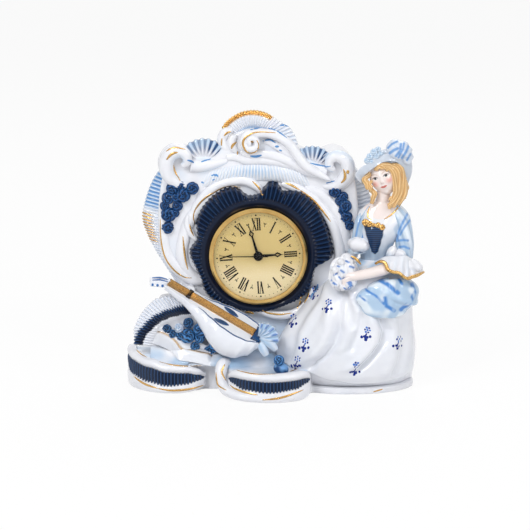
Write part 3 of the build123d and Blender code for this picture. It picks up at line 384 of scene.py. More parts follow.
# Foot scrolls: two rolled mouldings wrapped round the lobes, with a ribbed cobalt channel between
# a white upper and lower roll. Press-moulded and luted to the plinth; a mound of ground fills the
# left lobe, and gold lines follow later.
def foot_scroll(x, y, r, edges, ribs, tips):
    """A moulding round a lobe; edges gives the foot and the top of its channel by the angle."""
    first, last = edges[0][0], edges[-1][0]
    length = radians(last - first) * r
    feet = [(row[0], row[1]) for row in edges]
    tops = [(row[0], row[2]) for row in edges]

    def lay(u, v):
        degrees = first + (last - first) * u
        a = radians(degrees)
        low, high = by_key(feet, degrees), by_key(tops, degrees)
        outline = [
            (0.0, 0.3), (3.6, 0.3), (6.0, 1.0), (6.8, low * 0.5), (6.3, low - 0.7), (5.3, low),
            (5.7, (2 * low + high) / 3), (5.8, (low + 2 * high) / 3),
            (5.3, high), (6.0, high + 0.8), (6.8, high + 2.6), (5.6, high + 4.8), (2.6, high + 5.6),
            (0.0, high + 4.0), (0.0, 10.0),
        ]
        d, z = along(outline, v, ring=True)
        knot = v * len(outline)
        end = rounded(min(u * length / tips[0], (1 - u) * length / tips[1]))
        ridge = 0.5 + 0.5 * cos(2 * pi * ribs * u + 1.5 * sin(9 * u))
        foot, top = 5.25 - 0.5 * ridge, 7.9 + 0.25 * ridge
        band = ease(foot - 0.15, foot + 0.15, knot) * ease(top + 0.15, top - 0.15, knot)
        band *= ease(0.8, 2.0, min(u, 1 - u) * length)
        d += band * (1.3 * ridge - 0.5)
        d = 2.2 + (d - 2.2) * (0.2 + 0.8 * end)
        z = max(10.5 + (z - 10.5) * (0.4 + 0.6 * end), 0.25)
        colour = mixed(WHITE, mixed(COBALT, COBALT_THIN, ridge * ridge * 0.6), band)
        return (x + (r + d) * cos(a), y + (r + d) * sin(a), z), colour

    return skin(84, int(length * 3.2), lay)


def square_to(knots, v, step, facing=(0, -1, 0)):
    """The place a share v along a line, and the two ways square to the line there."""
    run = Vector(along(knots, v + step)) - Vector(along(knots, v - step))
    side = run.cross(Vector(facing)).normalized()
    return Vector(along(knots, v)), side, side.cross(run).normalized()


def roll(knots, radii, steps, colour, gilt=0.0, sides=12, flat=1.0, facing=(0, -1, 0)):
    """A rounded moulding along a smooth line through knots, closed at both ends."""
    knots = [tuple(k) for k in knots]
    widths = [(r,) for r in radii]

    def lay(u, v):
        spot, side, out = square_to(knots, v, 0.01, facing)
        r = along(widths, v)[0] * rounded(min(v, 1 - v) * steps / 3.0)
        a = 2 * pi * u
        spot += r * (cos(a) * side + flat * sin(a) * out)
        return spot, colour(u, v) if callable(colour) else colour, gilt

    return skin(steps, sides, lay)


LEFT_CHANNEL = [
    (158, 15.0, 21.5), (180, 14.5, 23.0), (205, 10.6, 21.2), (238, 7.6, 18.8), (260, 5.8, 16.2),
    (285, 6.8, 15.6), (300, 8.2, 13.8), (313, 9.8, 10.8),
]
FRONT_CHANNEL = [
    (212, 15.8, 16.6), (222, 12.4, 16.9), (240, 9.0, 16.4), (270, 7.6, 15.6), (300, 9.2, 15.8),
    (318, 12.4, 16.4), (328, 15.4, 16.2),
]
LEFT_LOBE = (-72, 12, 29)
FRONT_LOBE = (-4, -12, 31)
MOUND_R = 29.2
MOUND_TOP, MOUND_FOOT = 25.5, 17.0
left_scroll = foot_scroll(*LEFT_LOBE, LEFT_CHANNEL, 36, (9.0, 24.0))
front_scroll = foot_scroll(*FRONT_LOBE, FRONT_CHANNEL, 30, (12.0, 14.0))
turned_end = roll(
    [
        (-33, -15, 22.5), (-37.5, -20, 21.5), (-39, -25, 15), (-37, -32, 8), (-31, -39, 5),
        (-19, -45.2, 3.6), (-2, -46.8, 3.2), (14, -44.5, 3.4),
    ],
    [2.5, 4.4, 4.2, 3.8, 3.4, 3.0, 2.7, 2.0], 70, WHITE, sides=16,
)


def mound_lay(u, v):
    x, y, lobe_r = LEFT_LOBE
    a = 2 * pi * u
    degrees = 360 * u if u > 0.25 else 360 * u + 360
    rim = by_key([(row[0], row[2] + 3.6) for row in LEFT_CHANNEL], degrees)
    rim += (26.5 - rim) * ease(20, 34, y + lobe_r * sin(a)) if degrees < 200 else 0.0
    if v > 0.8:
        r, z = MOUND_R * (1 - v) / 0.2, MOUND_FOOT
    else:
        r = MOUND_R * v / 0.8
        z = MOUND_TOP + (rim - MOUND_TOP) * (r / MOUND_R) ** 2
    spot = (x + r * cos(a), y + r * sin(a), z)
    return spot, mixed(WHITE, WASH, 0.75 * ease(-0.4, 0.5, cloud(*spot, 12)))


mound = skin(50, 90, mound_lay)
cast("left_foot_scroll_cast", [left_scroll, mound], ["left_foot_scroll"])
cast("front_foot_scroll_cast", [front_scroll, turned_end], ["front_foot_scroll"])

# Case: the hollow cartouche with its sleeve and back plate, slip-cast in porcelain and luted into
# one body. White glaze, slightly blue where it pools, with pale washes round the crest.
def case_paint(x, y, z):
    wash = ease(0.0, 0.5, cloud(x + 40, y, z, 16)) * 0.5
    top = ease(9, 6, y) * ease(150, 160, z) * ease(176, 166, z)
    low = ease(8, 6, y) * ease(60, 40, z)
    return mixed(mixed(WHITE, PALE, wash * 0.5), WASH, 0.55 * top * wash + low * 0.5)


case = softened(["case_body", "case_sleeve", "case_back"], 1.3, 7, case_paint)
cast("case_cast", [case], ["case_body", "case_sleeve", "case_back"])

# Dial surround: a smooth cobalt ring round the bore that breaks into fluted lobes.
# Modelled in relief on the case front and painted full cobalt, thin on the ridges.
CLOCK_X = -12.0
CLOCK_Z = 97.5
SEAT_Y = -1.0
CASE_Y = 6.0
LOBES = [
    (90, 6), (81, 16), (75, 16), (68, 12), (58, 18), (44, 19), (28, 17), (12, 16), (-2, 16), (-14, 5),
    (-38, 8), (-62, 5), (-90, 5), (-118, 6), (-142, 10), (-156, 8), (-168, 9), (-182, 12), (-195, 8),
    (-208, 13), (-220, 16), (-236, 17), (-250, 15), (-260, 6),
]
FLUTES = 96
SURROUND_IN, SURROUND_OUT = 32.1, 37.6
cobalt_glaze = glaze("cobalt_glaze", 0.30, 0.05, 0.20)


def surround_lay(u, v):
    degrees, lobe = along(LOBES + [(-270, 6)], u)
    a = radians(degrees)
    inner, rim = SURROUND_IN, SURROUND_OUT + lobe
    if v < 0.08:
        r, y = inner, CASE_Y + (SEAT_Y - CASE_Y) * v / 0.08
        ridge = 0.0
    elif v > 0.94:
        r, y = rim + (inner - rim) * (v - 0.94) / 0.06, CASE_Y + 0.4
        ridge = 0.0
    else:
        s = (v - 0.08) / 0.86
        r = inner + (rim - inner) * s ** 0.9
        out = ease(40.0, 43.0, r)
        ridge = (0.5 + 0.5 * cos(a * FLUTES)) * out
        crown = SEAT_Y - 2.0 * hump(r, 39.2, 2.2) - 1.4 * out * (1 - ease(0.5, 1.0, s))
        y = crown - 1.5 * ridge * ease(1.0, 0.9, s) + (CASE_Y + 0.4 - SEAT_Y) * ease(0.86, 1.0, s)
        r += ridge * 0.7 * ease(0.8, 1.0, s)
    colour = mixed(COBALT, COBALT_THIN, ridge * ridge * 0.32)
    return (CLOCK_X + r * cos(a), y, CLOCK_Z + r * sin(a)), colour


cast("surround_cast", [skin(44, 1150, surround_lay)], ["dial_surround"], cobalt_glaze)

# Frame scrolls: white C-shaped mouldings between the surround and the roses, on both sides,
# and a short one below the dial. Rolled by hand and pressed on to the case front.
def moulding(spots, radii, depth, steps=70, flat=0.8):
    return roll([seen(x, y, depth) for x, y in spots], radii, steps, WHITE, sides=16, flat=flat)


frame_rolls = [
    moulding(
        [
            (264, 197), (257, 187), (246, 181), (232, 181), (219, 185), (207, 193), (198, 203), (193, 214),
            (193, 226),
        ],
        [1.5, 3.2, 3.6, 3.6, 3.4, 3.2, 3.0, 2.4, 1.4], 5.5,
    ),
    moulding(
        [
            (240, 184), (218, 192), (200, 207), (189, 222), (184, 238), (182, 254), (186, 268), (196, 277),
            (204, 276),
        ],
        [2, 3, 4, 4.6, 4.6, 4.6, 4.4, 4, 3], 6.5,
    ),
    moulding([(197, 241), (191, 233), (187, 224), (188, 215)], [1.2, 2.4, 2.2, 1.0], 3.5, 30),
    moulding(
        [(163, 216), (164, 236), (167, 252), (173, 264), (182, 273), (192, 279), (202, 280), (208, 276)],
        [3.0, 3.4, 3.8, 4.2, 4.4, 4.4, 4.0, 2.4], 6.5,
    ),
    moulding(
        [
            (281, 184), (291, 186), (302, 191), (314, 200), (325, 212), (333, 225), (338, 240), (340, 254),
            (337, 264),
        ],
        [1.5, 3.2, 3.6, 3.6, 3.6, 3.8, 4.0, 4.0, 3.0], 5.5,
    ),
    moulding(
        [(304, 186), (320, 194), (332, 206), (340, 220), (345, 236), (346, 252)], [2, 4, 4.6, 4.6, 4.4, 3],
        7.0,
    ),
    moulding(
        [(313, 287), (310, 298), (303, 308), (291, 314), (276, 315), (262, 311), (252, 306)],
        [1.4, 2.6, 3.0, 3.0, 3.0, 2.6, 1.4], 1.0, 50,
    ),
]
cast("frame_scrolls_cast", frame_rolls, ["frame_scrolls"])

# Crest: a fluted fan shell with a gilt rim, standing behind a scroll that curls into a volute,
# with leaf scrolls at its foot. Cast in the case mould, the volute sharpened by hand.
def leaf(v, turn):
    """A leaf goes up its front till v is turn, then down its back: is v in front, and how far up."""
    face = v < turn
    return face, v / turn if face else (1 - v) / (1 - turn)


def inset(t, times):
    """0 at both ends of a span, and 1 further in."""
    return min(1.0, times * t, times * (1 - t))


def fluted(u, count):
    """1 on the ridges of a number of flutes, 0 in the furrows."""
    return 0.5 - 0.5 * cos(2 * pi * count * u)


def fan_shell(x, z, inner, rim, first, last, flutes, front, back, paint, rows, cols, wave=1.0, calm=0.0):
    """A closed scalloped shell of a rim(degrees) and a front(share), plain in the middle up to calm."""
    def lay(u, v):
        degrees = first + (last - first) * u
        a = radians(degrees)
        ridge = fluted(u, flutes)
        face, s = leaf(v, 0.66)
        y = front(s)
        if face:
            y -= wave * ridge * ease(calm, 0.5 + 0.4 * calm, s)
        elif s < 1:
            y += (back - y) * inset(u, 14) * sin(pi * s) ** 0.5
        r = inner + (rim(degrees) + wave * 0.5 * ridge - inner) * s
        return (x + r * cos(a), y, z + r * sin(a)), *paint(degrees, s, ridge)

    return skin(rows, cols, lay)


CREST_RIM = [
    (-2, 32.5), (8, 31.5), (20, 29.5), (32, 26.0), (45, 24.4), (60, 24.0), (90, 23.8), (120, 24.0),
    (153, 25.0),
]


def crest_paint(degrees, s, ridge):
    gilt = ease(0.80, 0.86, s) * ease(50, 56, degrees) if degrees > 50 else 0.0
    wash = ease(0.50, 0.40, s) * 0.75 + 0.25 * ease(44, 30, degrees) * (1 - ridge)
    return mixed(mixed(WHITE, PALE, 0.30 * (1 - ridge)), WASH, wash), gilt


crest = fan_shell(
    -16, 177.2, 4, lambda d: by_key(CREST_RIM, d), -2, 154, 27,
    lambda s: 12.5 - 3.5 * sin(pi * s * 0.8), 22, crest_paint, 48, 324,
)
cast("crest_shell_cast", [crest], ["crest_shell"])


def spiral(x, y, turns, reach, first, depth, steps):
    """Spots of a spiral round an eye, from its outside in."""
    spots = []
    for i in range(steps + 1):
        t = i / steps
        a = radians(first) + turns * 2 * pi * t
        r = reach * (1 - t) + 1.6 * t
        spots.append(seen(x + r * cos(a), y - r * sin(a), depth - 1.5 * t))
    return spots


CREST_LINE = [(330, 180), (318, 173), (306, 166), (298, 156), (291, 146), (281, 138), (268, 133.5)]
crest_rolls = [
    roll(
        [seen(x, y, 2.5) for x, y in CREST_LINE] + spiral(251.5, 142.3, 1.55, 9.8, 64, 0.5, 15),
        [
            1.4, 3.0, 3.5, 3.6, 3.5, 3.4, 3.2, 3.0, 2.9, 2.8, 2.7, 2.6, 2.5, 2.4, 2.3, 2.2, 2.1, 2.0, 1.9,
            1.8, 1.8, 1.8, 1.8,
        ],
        190, WHITE, sides=16,
    ),
    moulding(
        [(326, 176), (308, 172), (292, 163), (278, 157), (262, 154), (250, 155), (240, 152)],
        [1.5, 3, 3.6, 3.6, 3.2, 2.8, 1.6], 5.0,
    ),
    moulding([(300, 163), (288, 152), (277, 145), (264, 141)], [2.0, 4.0, 3.4, 1.5], 5.5, 40, 0.7),
    moulding([(238, 153), (233, 147), (232, 140), (237, 135)], [1.4, 3.0, 3.0, 1.4], 5.5, 36),
    moulding(
        [(232, 153), (225, 147), (222, 139), (226, 132), (233, 130)], [1.6, 3.2, 3.6, 3.4, 1.4], 8.0, 44,
    ),
    moulding(
        [(226, 158), (236, 157), (246, 160), (262, 160), (280, 162), (300, 169)], [2, 3, 3.2, 3.2, 3.4, 2],
        6.0,
    ),
]
cast("crest_scroll_cast", crest_rolls, ["crest_scroll"])

# Apron below the crest: a shallow fluted fan pressed into the case front between the corner
# volutes, white with pale blue in the flutes.
APRON_FLUTES = 34


def apron_lay(u, v):
    sag = 4.0 * (u - 0.5) ** 2
    ridge = fluted(u, APRON_FLUTES)
    top, low = 163.5 + 9 * sag, 181.5 + 8 * sag
    face, s = leaf(v, 0.75)
    bulge = sin(pi * s) ** 0.6 * inset(u, 12) * (3.0 + 0.9 * ridge) if face else 0.0
    spot = seen(206 + 100 * u + (u - 0.5) * 16 * s, top + (low - top) * s, CASE_Y + 0.6 - bulge)
    blue = (1 - ridge) * hump(u, 0.48, 0.22) * hump(s, 0.45, 0.3)
    return spot, mixed(mixed(WHITE, PALE, 0.5 * (1 - ridge)), WASH, blue)


cast("apron", [skin(26, 9 * APRON_FLUTES, apron_lay)])

# Corner volutes: thick porcelain scrolls that curl forward at the two upper corners of the case,
# rolled by hand and luted on. White glaze with a pale wash in the curl; gold strokes follow later.
def curl_paint(u, v):
    return mixed(WHITE, PALE, 0.8 * ease(0.25, 0.05, u) * ease(0.3, 0.6, v))


def curl(spots, radii, steps=90):
    return roll([seen(*spot) for spot in spots], radii, steps, curl_paint, sides=20)


volutes = [
    curl(
        [
            (188, 186, 7), (178, 184, 6), (169, 176, 5), (166, 165, 4), (170, 155, 3), (179, 151, 2.5),
            (186, 155, 2), (187, 162, 2.5), (182, 166, 3.5),
        ],
        [1.5, 3.6, 4.8, 5.4, 5.4, 4.8, 4.0, 3.2, 2.0],
    ),
    curl(
        [
            (184, 190, 8), (174, 183, 8), (167, 172, 8), (165, 160, 8), (171, 150, 8), (182, 149, 8),
            (189, 156, 8),
        ],
        [2, 4, 5, 5, 4.4, 3.6, 2],
    ),
    curl([(190, 165, 6), (200, 166, 6.5), (214, 164, 7), (228, 160, 7)], [5.0, 4.4, 3.6, 2.0], 50),
    curl(
        [
            (322, 186, 7), (334, 186, 6), (343, 180, 5), (348, 171, 4), (346, 161, 3), (337, 156, 2.5),
            (330, 160, 2.5), (330, 167, 3.0), (335, 170, 3.5),
        ],
        [1.5, 3.6, 4.6, 5.0, 5.0, 4.4, 3.6, 3.0, 1.8],
    ),
    curl(
        [(330, 190, 8), (342, 185, 8), (349, 174, 8), (347, 161, 8), (337, 155, 8), (327, 157, 8)],
        [2, 4, 4.6, 4.4, 3.6, 2],
    ),
    curl([(328, 170, 6), (318, 168, 6.5), (306, 162, 7), (296, 154, 8)], [4.4, 4.0, 3.2, 1.8], 50),
]
cast("corner_volutes_cast", volutes, ["corner_volutes"])

# Top shells: small porcelain fans behind the corner volutes, press-moulded and luted to the case.
# Each flute is brushed with cobalt that fades towards the foot.
def top_paint(degrees, s, ridge):
    stroke = ease(0.62, 0.22, ridge) * ease(0.30, 0.62, s)
    shade = mixed(WHITE, WASH, ease(0.4, 0.9, s) * 0.8)
    return mixed(shade, COBALT_THIN, stroke * (0.6 + 0.4 * ease(90, 70, degrees))), 0.0


shells = []
for middle, first, last, reach in (((-51.0, 162.0), 42, 146, 18.6), ((26.5, 157.5), 40, 138, 17.6)):
    shells.append(fan_shell(
        *middle, 3, lambda d, r=reach: r, first, last, 7,
        lambda s: 9.0 - 3.0 * sin(pi * s * 0.9), 18, top_paint, 36, 126, wave=1.8,
    ))
cast("top_shells_cast", shells, ["top_shells"])

# Side shells: finely fluted porcelain flanks that swell from the case sides, press-moulded and
# luted on. Blue at the shoulder, gold on the tips at the widest part and white below.
FLANK_BLUE = (0.08, 0.27, 0.60)
FLANK_FLUTES = 40


def flank(side):
    outer = [(58, -24), (66, -12), (74, 0), (80, 12), (83.5, 24), (81, 38), (75, 53), (65, 66)]

    def lay(u, v):
        du, dw = along(outer, u)
        ridge = fluted(u, FLANK_FLUTES)
        inner = 56.0 + 4.0 * u
        if v < 0.5:
            s = v / 0.5
        elif v > 0.62:
            s = (1 - v) / 0.38
        else:
            s = 1.0
        x = inner + (du - inner + 0.8 * ridge * (v < 0.62)) * s
        front, back = 9.0 + (x - 54) / 32 * 8.5, 34.0 - (x - 54) / 32 * 16.0
        if v < 0.5:
            y = front - 1.1 * ridge * ease(0.15, 0.5, s) + 0.8 * ease(0.85, 1.0, s)
        elif v > 0.62:
            y = back
        else:
            y = front + 0.8 + (back - front - 0.8) * (v - 0.5) / 0.12
        z = dw + (s - 1) * (6 - u)
        tip = ease(0.62, 0.80, s) * (v < 0.56)
        gold = tip * ease(6, 9, dw) * ease(31, 28, dw) * ease(0.25, 0.6, ridge) * (side < 0)
        blue = ease(0.40, 0.65, s) * ease(31, 36, dw) * ease(62, 56, dw) * ease(0.75, 0.3, ridge)
        pale = ease(0.3, 0.6, s) * ease(31, 36, dw) * 0.6 + 0.35 * (1 - ridge)
        shade = mixed(WHITE, WASH, pale * (v < 0.62) * (1.0 if side < 0 else 0.4))
        colour = mixed(shade, FLANK_BLUE, 0.9 * blue * (v < 0.6) * (side < 0))
        return (CLOCK_X + side * x, y, CLOCK_Z + z), colour, gold

    return skin(44, 480, lay)


cast("side_shells_cast", [flank(-1), flank(1)], ["side_shells"])

# Roses: tight blooms built of rolled petals, crowded in two sprays on the case front.
# Solid cobalt, thin on the petal edges so that the paste shows through.
def rose(spot, r, out, seed, deep=COBALT, thin=(0.028, 0.12, 0.34), share=1.0):
    """One bloom on a base facing out, with petals wound round its heart."""
    out = Vector(out).normalized()
    side = Matrix.Rotation(seed * 1.7, 3, out) @ out.orthogonal().normalized()
    other = out.cross(side)

    def lay(u, v):
        a = 2 * pi * u
        lean = pi * 0.62 * v
        wind = 1.5 * a + 9.0 * v + 1.1 * sin(2 * a + seed) + 0.6 * sin(5 * a + 3 * v + seed)
        lip = abs(sin(wind)) ** 0.6
        swell = r * (0.66 + 0.38 * lip) * (1 - 0.12 * ease(0.22, 0.0, v))
        across = cos(a) * side + sin(a) * other
        place = Vector(spot) + swell * (sin(lean) * across + cos(lean) * 0.9 * out)
        return place, mixed(deep, thin, share * lip ** 4)

    return skin(26, 42, lay)


CASE_ROSES = [
    (192.5, 188.3, 6.2), (183, 195, 7.2), (172, 188.5, 5.8), (180, 186, 4.8), (168, 198, 6.2),
    (177.5, 206, 5.2), (168.5, 214.5, 7.4), (167.5, 227.5, 6.2), (175, 213, 4.4), (164.5, 206, 4.6),
    (175.5, 197, 5.2), (335, 191.5, 6.0), (343, 197, 5.2), (340, 201, 4.8), (345.5, 206, 6.0),
    (346, 217, 6.2), (349, 225, 5.2), (341.5, 211, 4.4),
]
ROSE_R = 0.74
sprays = []
for i, (x, y, r) in enumerate(CASE_ROSES):
    facing = (0.15 * sin(i * 2.1), -1, 0.2 * cos(i * 1.3))
    sprays.append(rose(seen(x, y, CASE_Y - 0.6), r * ROSE_R, facing, i))
cast("rose_sprays", sprays, ["rose_clusters"], cobalt_glaze)

# Lower shell and bank: a large fluted shell at the left with a ribbed cobalt band, standing on
# the sloping bank that carries the sheet and the roses. Porcelain, moulded with the bank in one
# piece and luted to the plinth.
BAND_R = [
    (98, 28.4), (103, 28.9), (119, 30.6), (134, 33.4), (144, 36.0), (155, 38.2), (166, 41.3), (174, 42.5),
]
RIM_R = [
    (94, 36.0), (104, 38.5), (113, 41.0), (122, 44.5), (131, 47.2), (146, 47.8), (161, 48.0), (174, 46.0),
]


def bank_paint(x, y, z):
    return mixed(WHITE, WASH, 0.85 * ease(36, 24, z) * ease(-0.5, 0.4, cloud(x, y, z, 12)))


def lower_paint(degrees, s, ridge):
    r = 8 + (by_key(RIM_R, degrees) - 8) * s
    middle = by_key(BAND_R, degrees)
    band = ease(middle - 3.6, middle - 3.0, r) * ease(middle + 3.4, middle + 2.4, r - 1.6 * ridge)
    colour = mixed(WHITE, PALE, 0.5 * (1 - ridge) * ease(0.5, 0.9, s))
    deep = mixed(COBALT, COBALT_THIN, 0.7 * ridge * ease(middle - 2, middle + 3, r))
    return mixed(colour, deep, band), 0.0


lower = fan_shell(
    -56, 30, 8, lambda d: by_key(RIM_R, d), 92, 177, 28,
    lambda s: -6.2 + 1.6 * hump(s, 0.42, 0.12) + 1.4 * s ** 3, 7, lower_paint, 90, 336, wave=1.2, calm=0.55,
)
bank = softened(["lower_shell"], 0.9, 8, bank_paint)
cast("lower_shell_cast", [bank, lower], ["lower_shell"])

# Song sheet: a thick folded leaf of porcelain paste, draped down the bank and luted to it, with its
# upper edge drawn in brown gold.
BANK_FOOT = Vector((0, -19, 19))
BANK_UP = Vector((0, -0.677, 0.736))
SHEET_LOW = [
    (152.5, 343), (161.5, 346.5), (171.5, 352), (178.3, 360), (186.7, 361.7), (196.7, 363.3), (204, 365),
    (211, 366),
]
SHEET_FOLD = [
    (157, 331.5), (163, 333), (170, 336.7), (175.5, 342), (180, 348.5), (187, 351.8), (203.3, 355.8),
    (212.5, 356.7),
]
SHEET_TOP = [(161, 326), (170, 328), (180, 332), (190, 338), (198, 341), (206, 345), (212, 347), (217, 350)]


def on_bank(x, y, lift):
    """The place on the bank behind a spot of the front view, lifted off it or off the shell."""
    line = sight(x, y)
    reach = (BANK_FOOT * MM - eye).dot(BANK_UP) / line.dot(BANK_UP)
    spot = (eye + line * reach) / MM + BANK_UP * lift
    return spot if spot.y < -8.0 - lift else seen(x, y, -8.0 - lift)


def sheet_lay(u, v):
    face, s = leaf(v, 0.72)
    low, fold, top = along(SHEET_LOW, u), along(SHEET_FOLD, u), along(SHEET_TOP, u)
    if s < 0.45:
        t = s / 0.45
        x, y = mixed(low, fold, t)
        lift = 0.4 + 3.4 * sin(pi / 2 * t)
    else:
        t = (s - 0.45) / 0.55
        x, y = mixed(fold, top, t)
        lift = 3.8 - 3.0 * t + 0.4 * sin(2 * pi * t)
    gilt = 0.85 * hump(s, 0.47, 0.05) if face else 0.0
    return on_bank(x, y, lift * inset(u, 12) if face else -0.5), mixed(WHITE, PALE, 0.15), gilt


cast("song_sheet_cast", [skin(70, 110, sheet_lay)], ["song_sheet"])

# Ground roses: looser porcelain blooms on the bank in front of the shell, in lighter blue, built
# and luted like the sprays. Their petal edges are lighter: partly thin cobalt and partly painted
# highlight, near white on the brightest bloom.
GROUND_ROSES = [
    (167, 329, 4.6, 0.4), (172.5, 334, 4.8, 0.5), (179, 328, 4.8, 2.1), (188.5, 323, 5.2, 0.5),
    (187.5, 336, 7.2, 0.9), (200.5, 330, 7.2, 0.9), (199.5, 338, 5.0, 1.0), (180.5, 336, 4.6, 0.7),
    (195, 346.5, 4.8, 0.8), (215.5, 346, 6.2, 0.9), (209, 351, 5.0, 0.7),
]
blooms = []
for i, (x, y, r, bright) in enumerate(GROUND_ROSES):
    depth = min(on_bank(x, y, 0.0).y - 1.5, -9.5)
    facing = (0.3 * sin(i * 1.9), -1, 0.55)
    deep = mixed(COBALT, WASH, bright - 1.2)
    # Petal edges: thin cobalt with a painted highlight, near white where bright is above 1.
    thin = mixed((0.10, 0.34, 0.74), (0.75, 0.82, 0.90), bright - 1.0)
    blooms.append(rose(seen(x, y, depth), r * ROSE_R, facing, i + 3, deep, thin, min(1.0, bright)))
cast("ground_roses_cast", blooms, ["ground_roses"], cobalt_glaze)

# Mandolin: a pear-shaped bowl with a flat soundboard, lying with its head to the left. Porcelain,
# luted on; white glaze, blue outline and sound holes, and a gold-brown fingerboard with strings.
long_way = Vector((-0.86, 0.14, 0.49)).normalized()
top_way = Vector((0.35, -0.5, 0.79))
top_way = (top_way - long_way * top_way.dot(long_way)).normalized()
cross_way = top_way.cross(long_way)
BOWL_SPOT = Vector((-31.5, -16.5, 53.5))
HALF_WIDTH = [
    (-28, 0.0), (-26.5, 7.0), (-23, 13.0), (-16, 18.2), (-7, 20.0), (3, 18.8), (13, 15.0), (21, 11.4),
    (29, 8.6), (38, 6.4), (52, 4.8), (54, 4.6),
]
HULL = [
    (-28, 0.0), (-26.5, 9.0), (-22, 17.0), (-13, 24.0), (-3, 25.5), (7, 21.5), (16, 15.5), (25, 11.0),
    (34, 8.2), (52, 5.6), (54, 0.0),
]


def on_board(x, y, z):
    """A place in the mandolin's own frame: x to the head, z out of the soundboard."""
    return BOWL_SPOT + x * long_way + y * cross_way + z * top_way


def shoulder(x):
    """How far the bowl curls in over its widest line to meet the soundboard."""
    return radians(10 + 38 * ease(40, 22, x))


def bowl_lay(u, v):
    x = -28 + 82 * v
    half, deep = by_key(HALF_WIDTH, x), by_key(HULL, x)
    over = shoulder(x)
    if u < 0.7:
        a = -over + (pi + 2 * over) * u / 0.7
        middle = -0.42 * deep
        s = sin(a)
        z = middle - (deep + middle) * s if s > 0 else middle + middle * s / sin(over)
        spot = on_board(x, half * cos(a), z)
        colour = mixed(WHITE, PALE, 0.15)
    else:
        wide = half * cos(over)
        spot = on_board(x, -wide + 2 * wide * (u - 0.7) / 0.3, 0.0)
        colour = mixed(WHITE, PALE, 0.25)
    return spot, colour


def slab(x0, x1, half, low, high, colour, gilt=0.0, taper=1.0):
    """A bar on the soundboard with soft edges."""
    form = blank()
    bmesh.ops.create_cube(form, size=1.0)
    for vert in form.verts:
        wide = half * (taper if vert.co.x > 0 else 1.0) * 2
        x = (x0 + x1) / 2 + vert.co.x * (x1 - x0)
        z = (low + high) / 2 + vert.co.z * (high - low)
        vert.co = on_board(x, vert.co.y * wide, z) * MM
    bmesh.ops.bevel(
        form, geom=form.edges[:], offset=0.35 * MM, affect="EDGES", segments=3, profile=0.5, material=-1,
    )
    for vert in form.verts:
        painted(vert, form, colour, gilt)
    bmesh.ops.recalc_face_normals(form, faces=form.faces)
    return form


def rim_line(side, first, last):
    spots = []
    for i in range(25):
        x = first + (last - first) * i / 24
        spots.append(on_board(x, side * max(0.0, by_key(HALF_WIDTH, x) * cos(shoulder(x)) - 1.0), 0.1))
    return roll(spots, [0.3, 0.6, 0.6, 0.6, 0.2], 90, COBALT_THIN, sides=8, flat=0.5, facing=top_way)


def sound_hole(x, y, length, width, turn):
    def lay(u, v):
        a = 2 * pi * u
        px, py = length * v * cos(a), width * v * sin(a) * abs(sin(a)) ** 0.4
        across, up = x + px * cos(turn) - py * sin(turn), y + px * sin(turn) + py * cos(turn)
        spot = on_board(across, up, 0.05 + 0.3 * (1 - v * v))
        return spot, mixed(COBALT, COBALT_THIN, 0.4 + 0.6 * v)

    return skin(6, 30, lay)


FRET_GOLD = (0.60, 0.33, 0.11)
STRING_GOLD = (0.55, 0.33, 0.10)
PEG_BLUE = (0.03, 0.14, 0.42)
mandolin_paint = glaze("mandolin_glaze", 0.06, 0.08)
cast("mandolin_bowl_cast", [skin(130, 90, bowl_lay)], ["mandolin_bowl"], mandolin_paint)
neck_forms = [
    slab(-19, 52, 3.0, -0.2, 1.6, FRET_GOLD, 0.35),
    slab(33.5, 36.0, 3.6, 0.3, 2.1, (0.03, 0.015, 0.01)),
    slab(-25.5, -19, 6.0, -0.5, 1.2, COBALT_THIN, taper=1.15),
    rim_line(1, -26.5, 25), rim_line(-1, -26.5, 25),
    sound_hole(5, 7.0, 6.0, 2.2, 0.15), sound_hole(3, -7.4, 6.5, 2.2, -0.15),
]
for y in (-1.8, -0.6, 0.6, 1.8):
    string = [on_board(-19, y, 1.65), on_board(16, y, 1.7), on_board(50, y, 1.65)]
    neck_forms.append(roll(string, [0.18] * 3, 40, STRING_GOLD, 0.9, sides=6, facing=top_way))


def peg_head(u, v):
    """The flat head, bent level with the ground, from its end to the neck."""
    a = 2 * pi * u
    wide = 5.0 - 0.8 * v
    end = rounded(14 * min(v, 1 - v))
    cosine, sine = cos(a), sin(a)
    drop = end * wide * copysign(abs(sine) ** 0.3, sine)
    out = end * 2.4 * copysign(abs(cosine) ** 0.3, cosine)
    spot = seen(149.5 + 21.5 * v, 281.5 + 2.2 * v - drop, -8.0 + 0.12 * drop - out)
    return spot, mixed(WHITE, PALE, 0.15)


neck_forms.append(skin(60, 48, peg_head))
for x in (152.5, 157.5, 162.5):
    peg = seen(x, 284.6 + 0.1 * (x - 152), -10.0)
    neck_forms.append(rose(peg, 1.3, (0, -1, 0.2), x, PEG_BLUE, (0.10, 0.30, 0.62), 0.6))
for y in (277.2, 279.6):
    spots = [seen(152, y + 0.6, -10.3), seen(160, y + 0.2, -10.3), seen(168, y + 2.2, -10.3)]
    neck_forms.append(roll(spots, [0.3, 0.45, 0.3], 30, PEG_BLUE, sides=6))
cast("mandolin_neck_cast", neck_forms, ["mandolin_neck"], mandolin_paint)

# Ribbon bow: the gathered end of the mandolin's ribbon, fanned out beside the bowl over two short
# loops that hang towards the ground. Porcelain, luted on; pale blue wash, darker at the tips.
def bow_paint(degrees, s, ridge):
    stroke = ease(0.50, 0.70, s) * ease(0.99, 0.88, s) * ease(0.45, 0.9, ridge)
    return mixed(mixed(WASH, PALE, ridge), (0.04, 0.16, 0.48), 0.85 * stroke), 0.0


bow_fan = fan_shell(
    -12.5, 41.5, 2, lambda d: 15.0 - 3.0 * hump(d, 80, 30), -12, 84, 5,
    lambda s: -24.0 - 2.5 * sin(pi * s * 0.8), -20, bow_paint, 30, 120, wave=1.6,
)


def loop_paint(u, v):
    return mixed(mixed(WASH, PALE, 0.5 + 0.5 * sin(8 * pi * u)), WHITE, 0.5 * ease(0.4, 1.0, v))


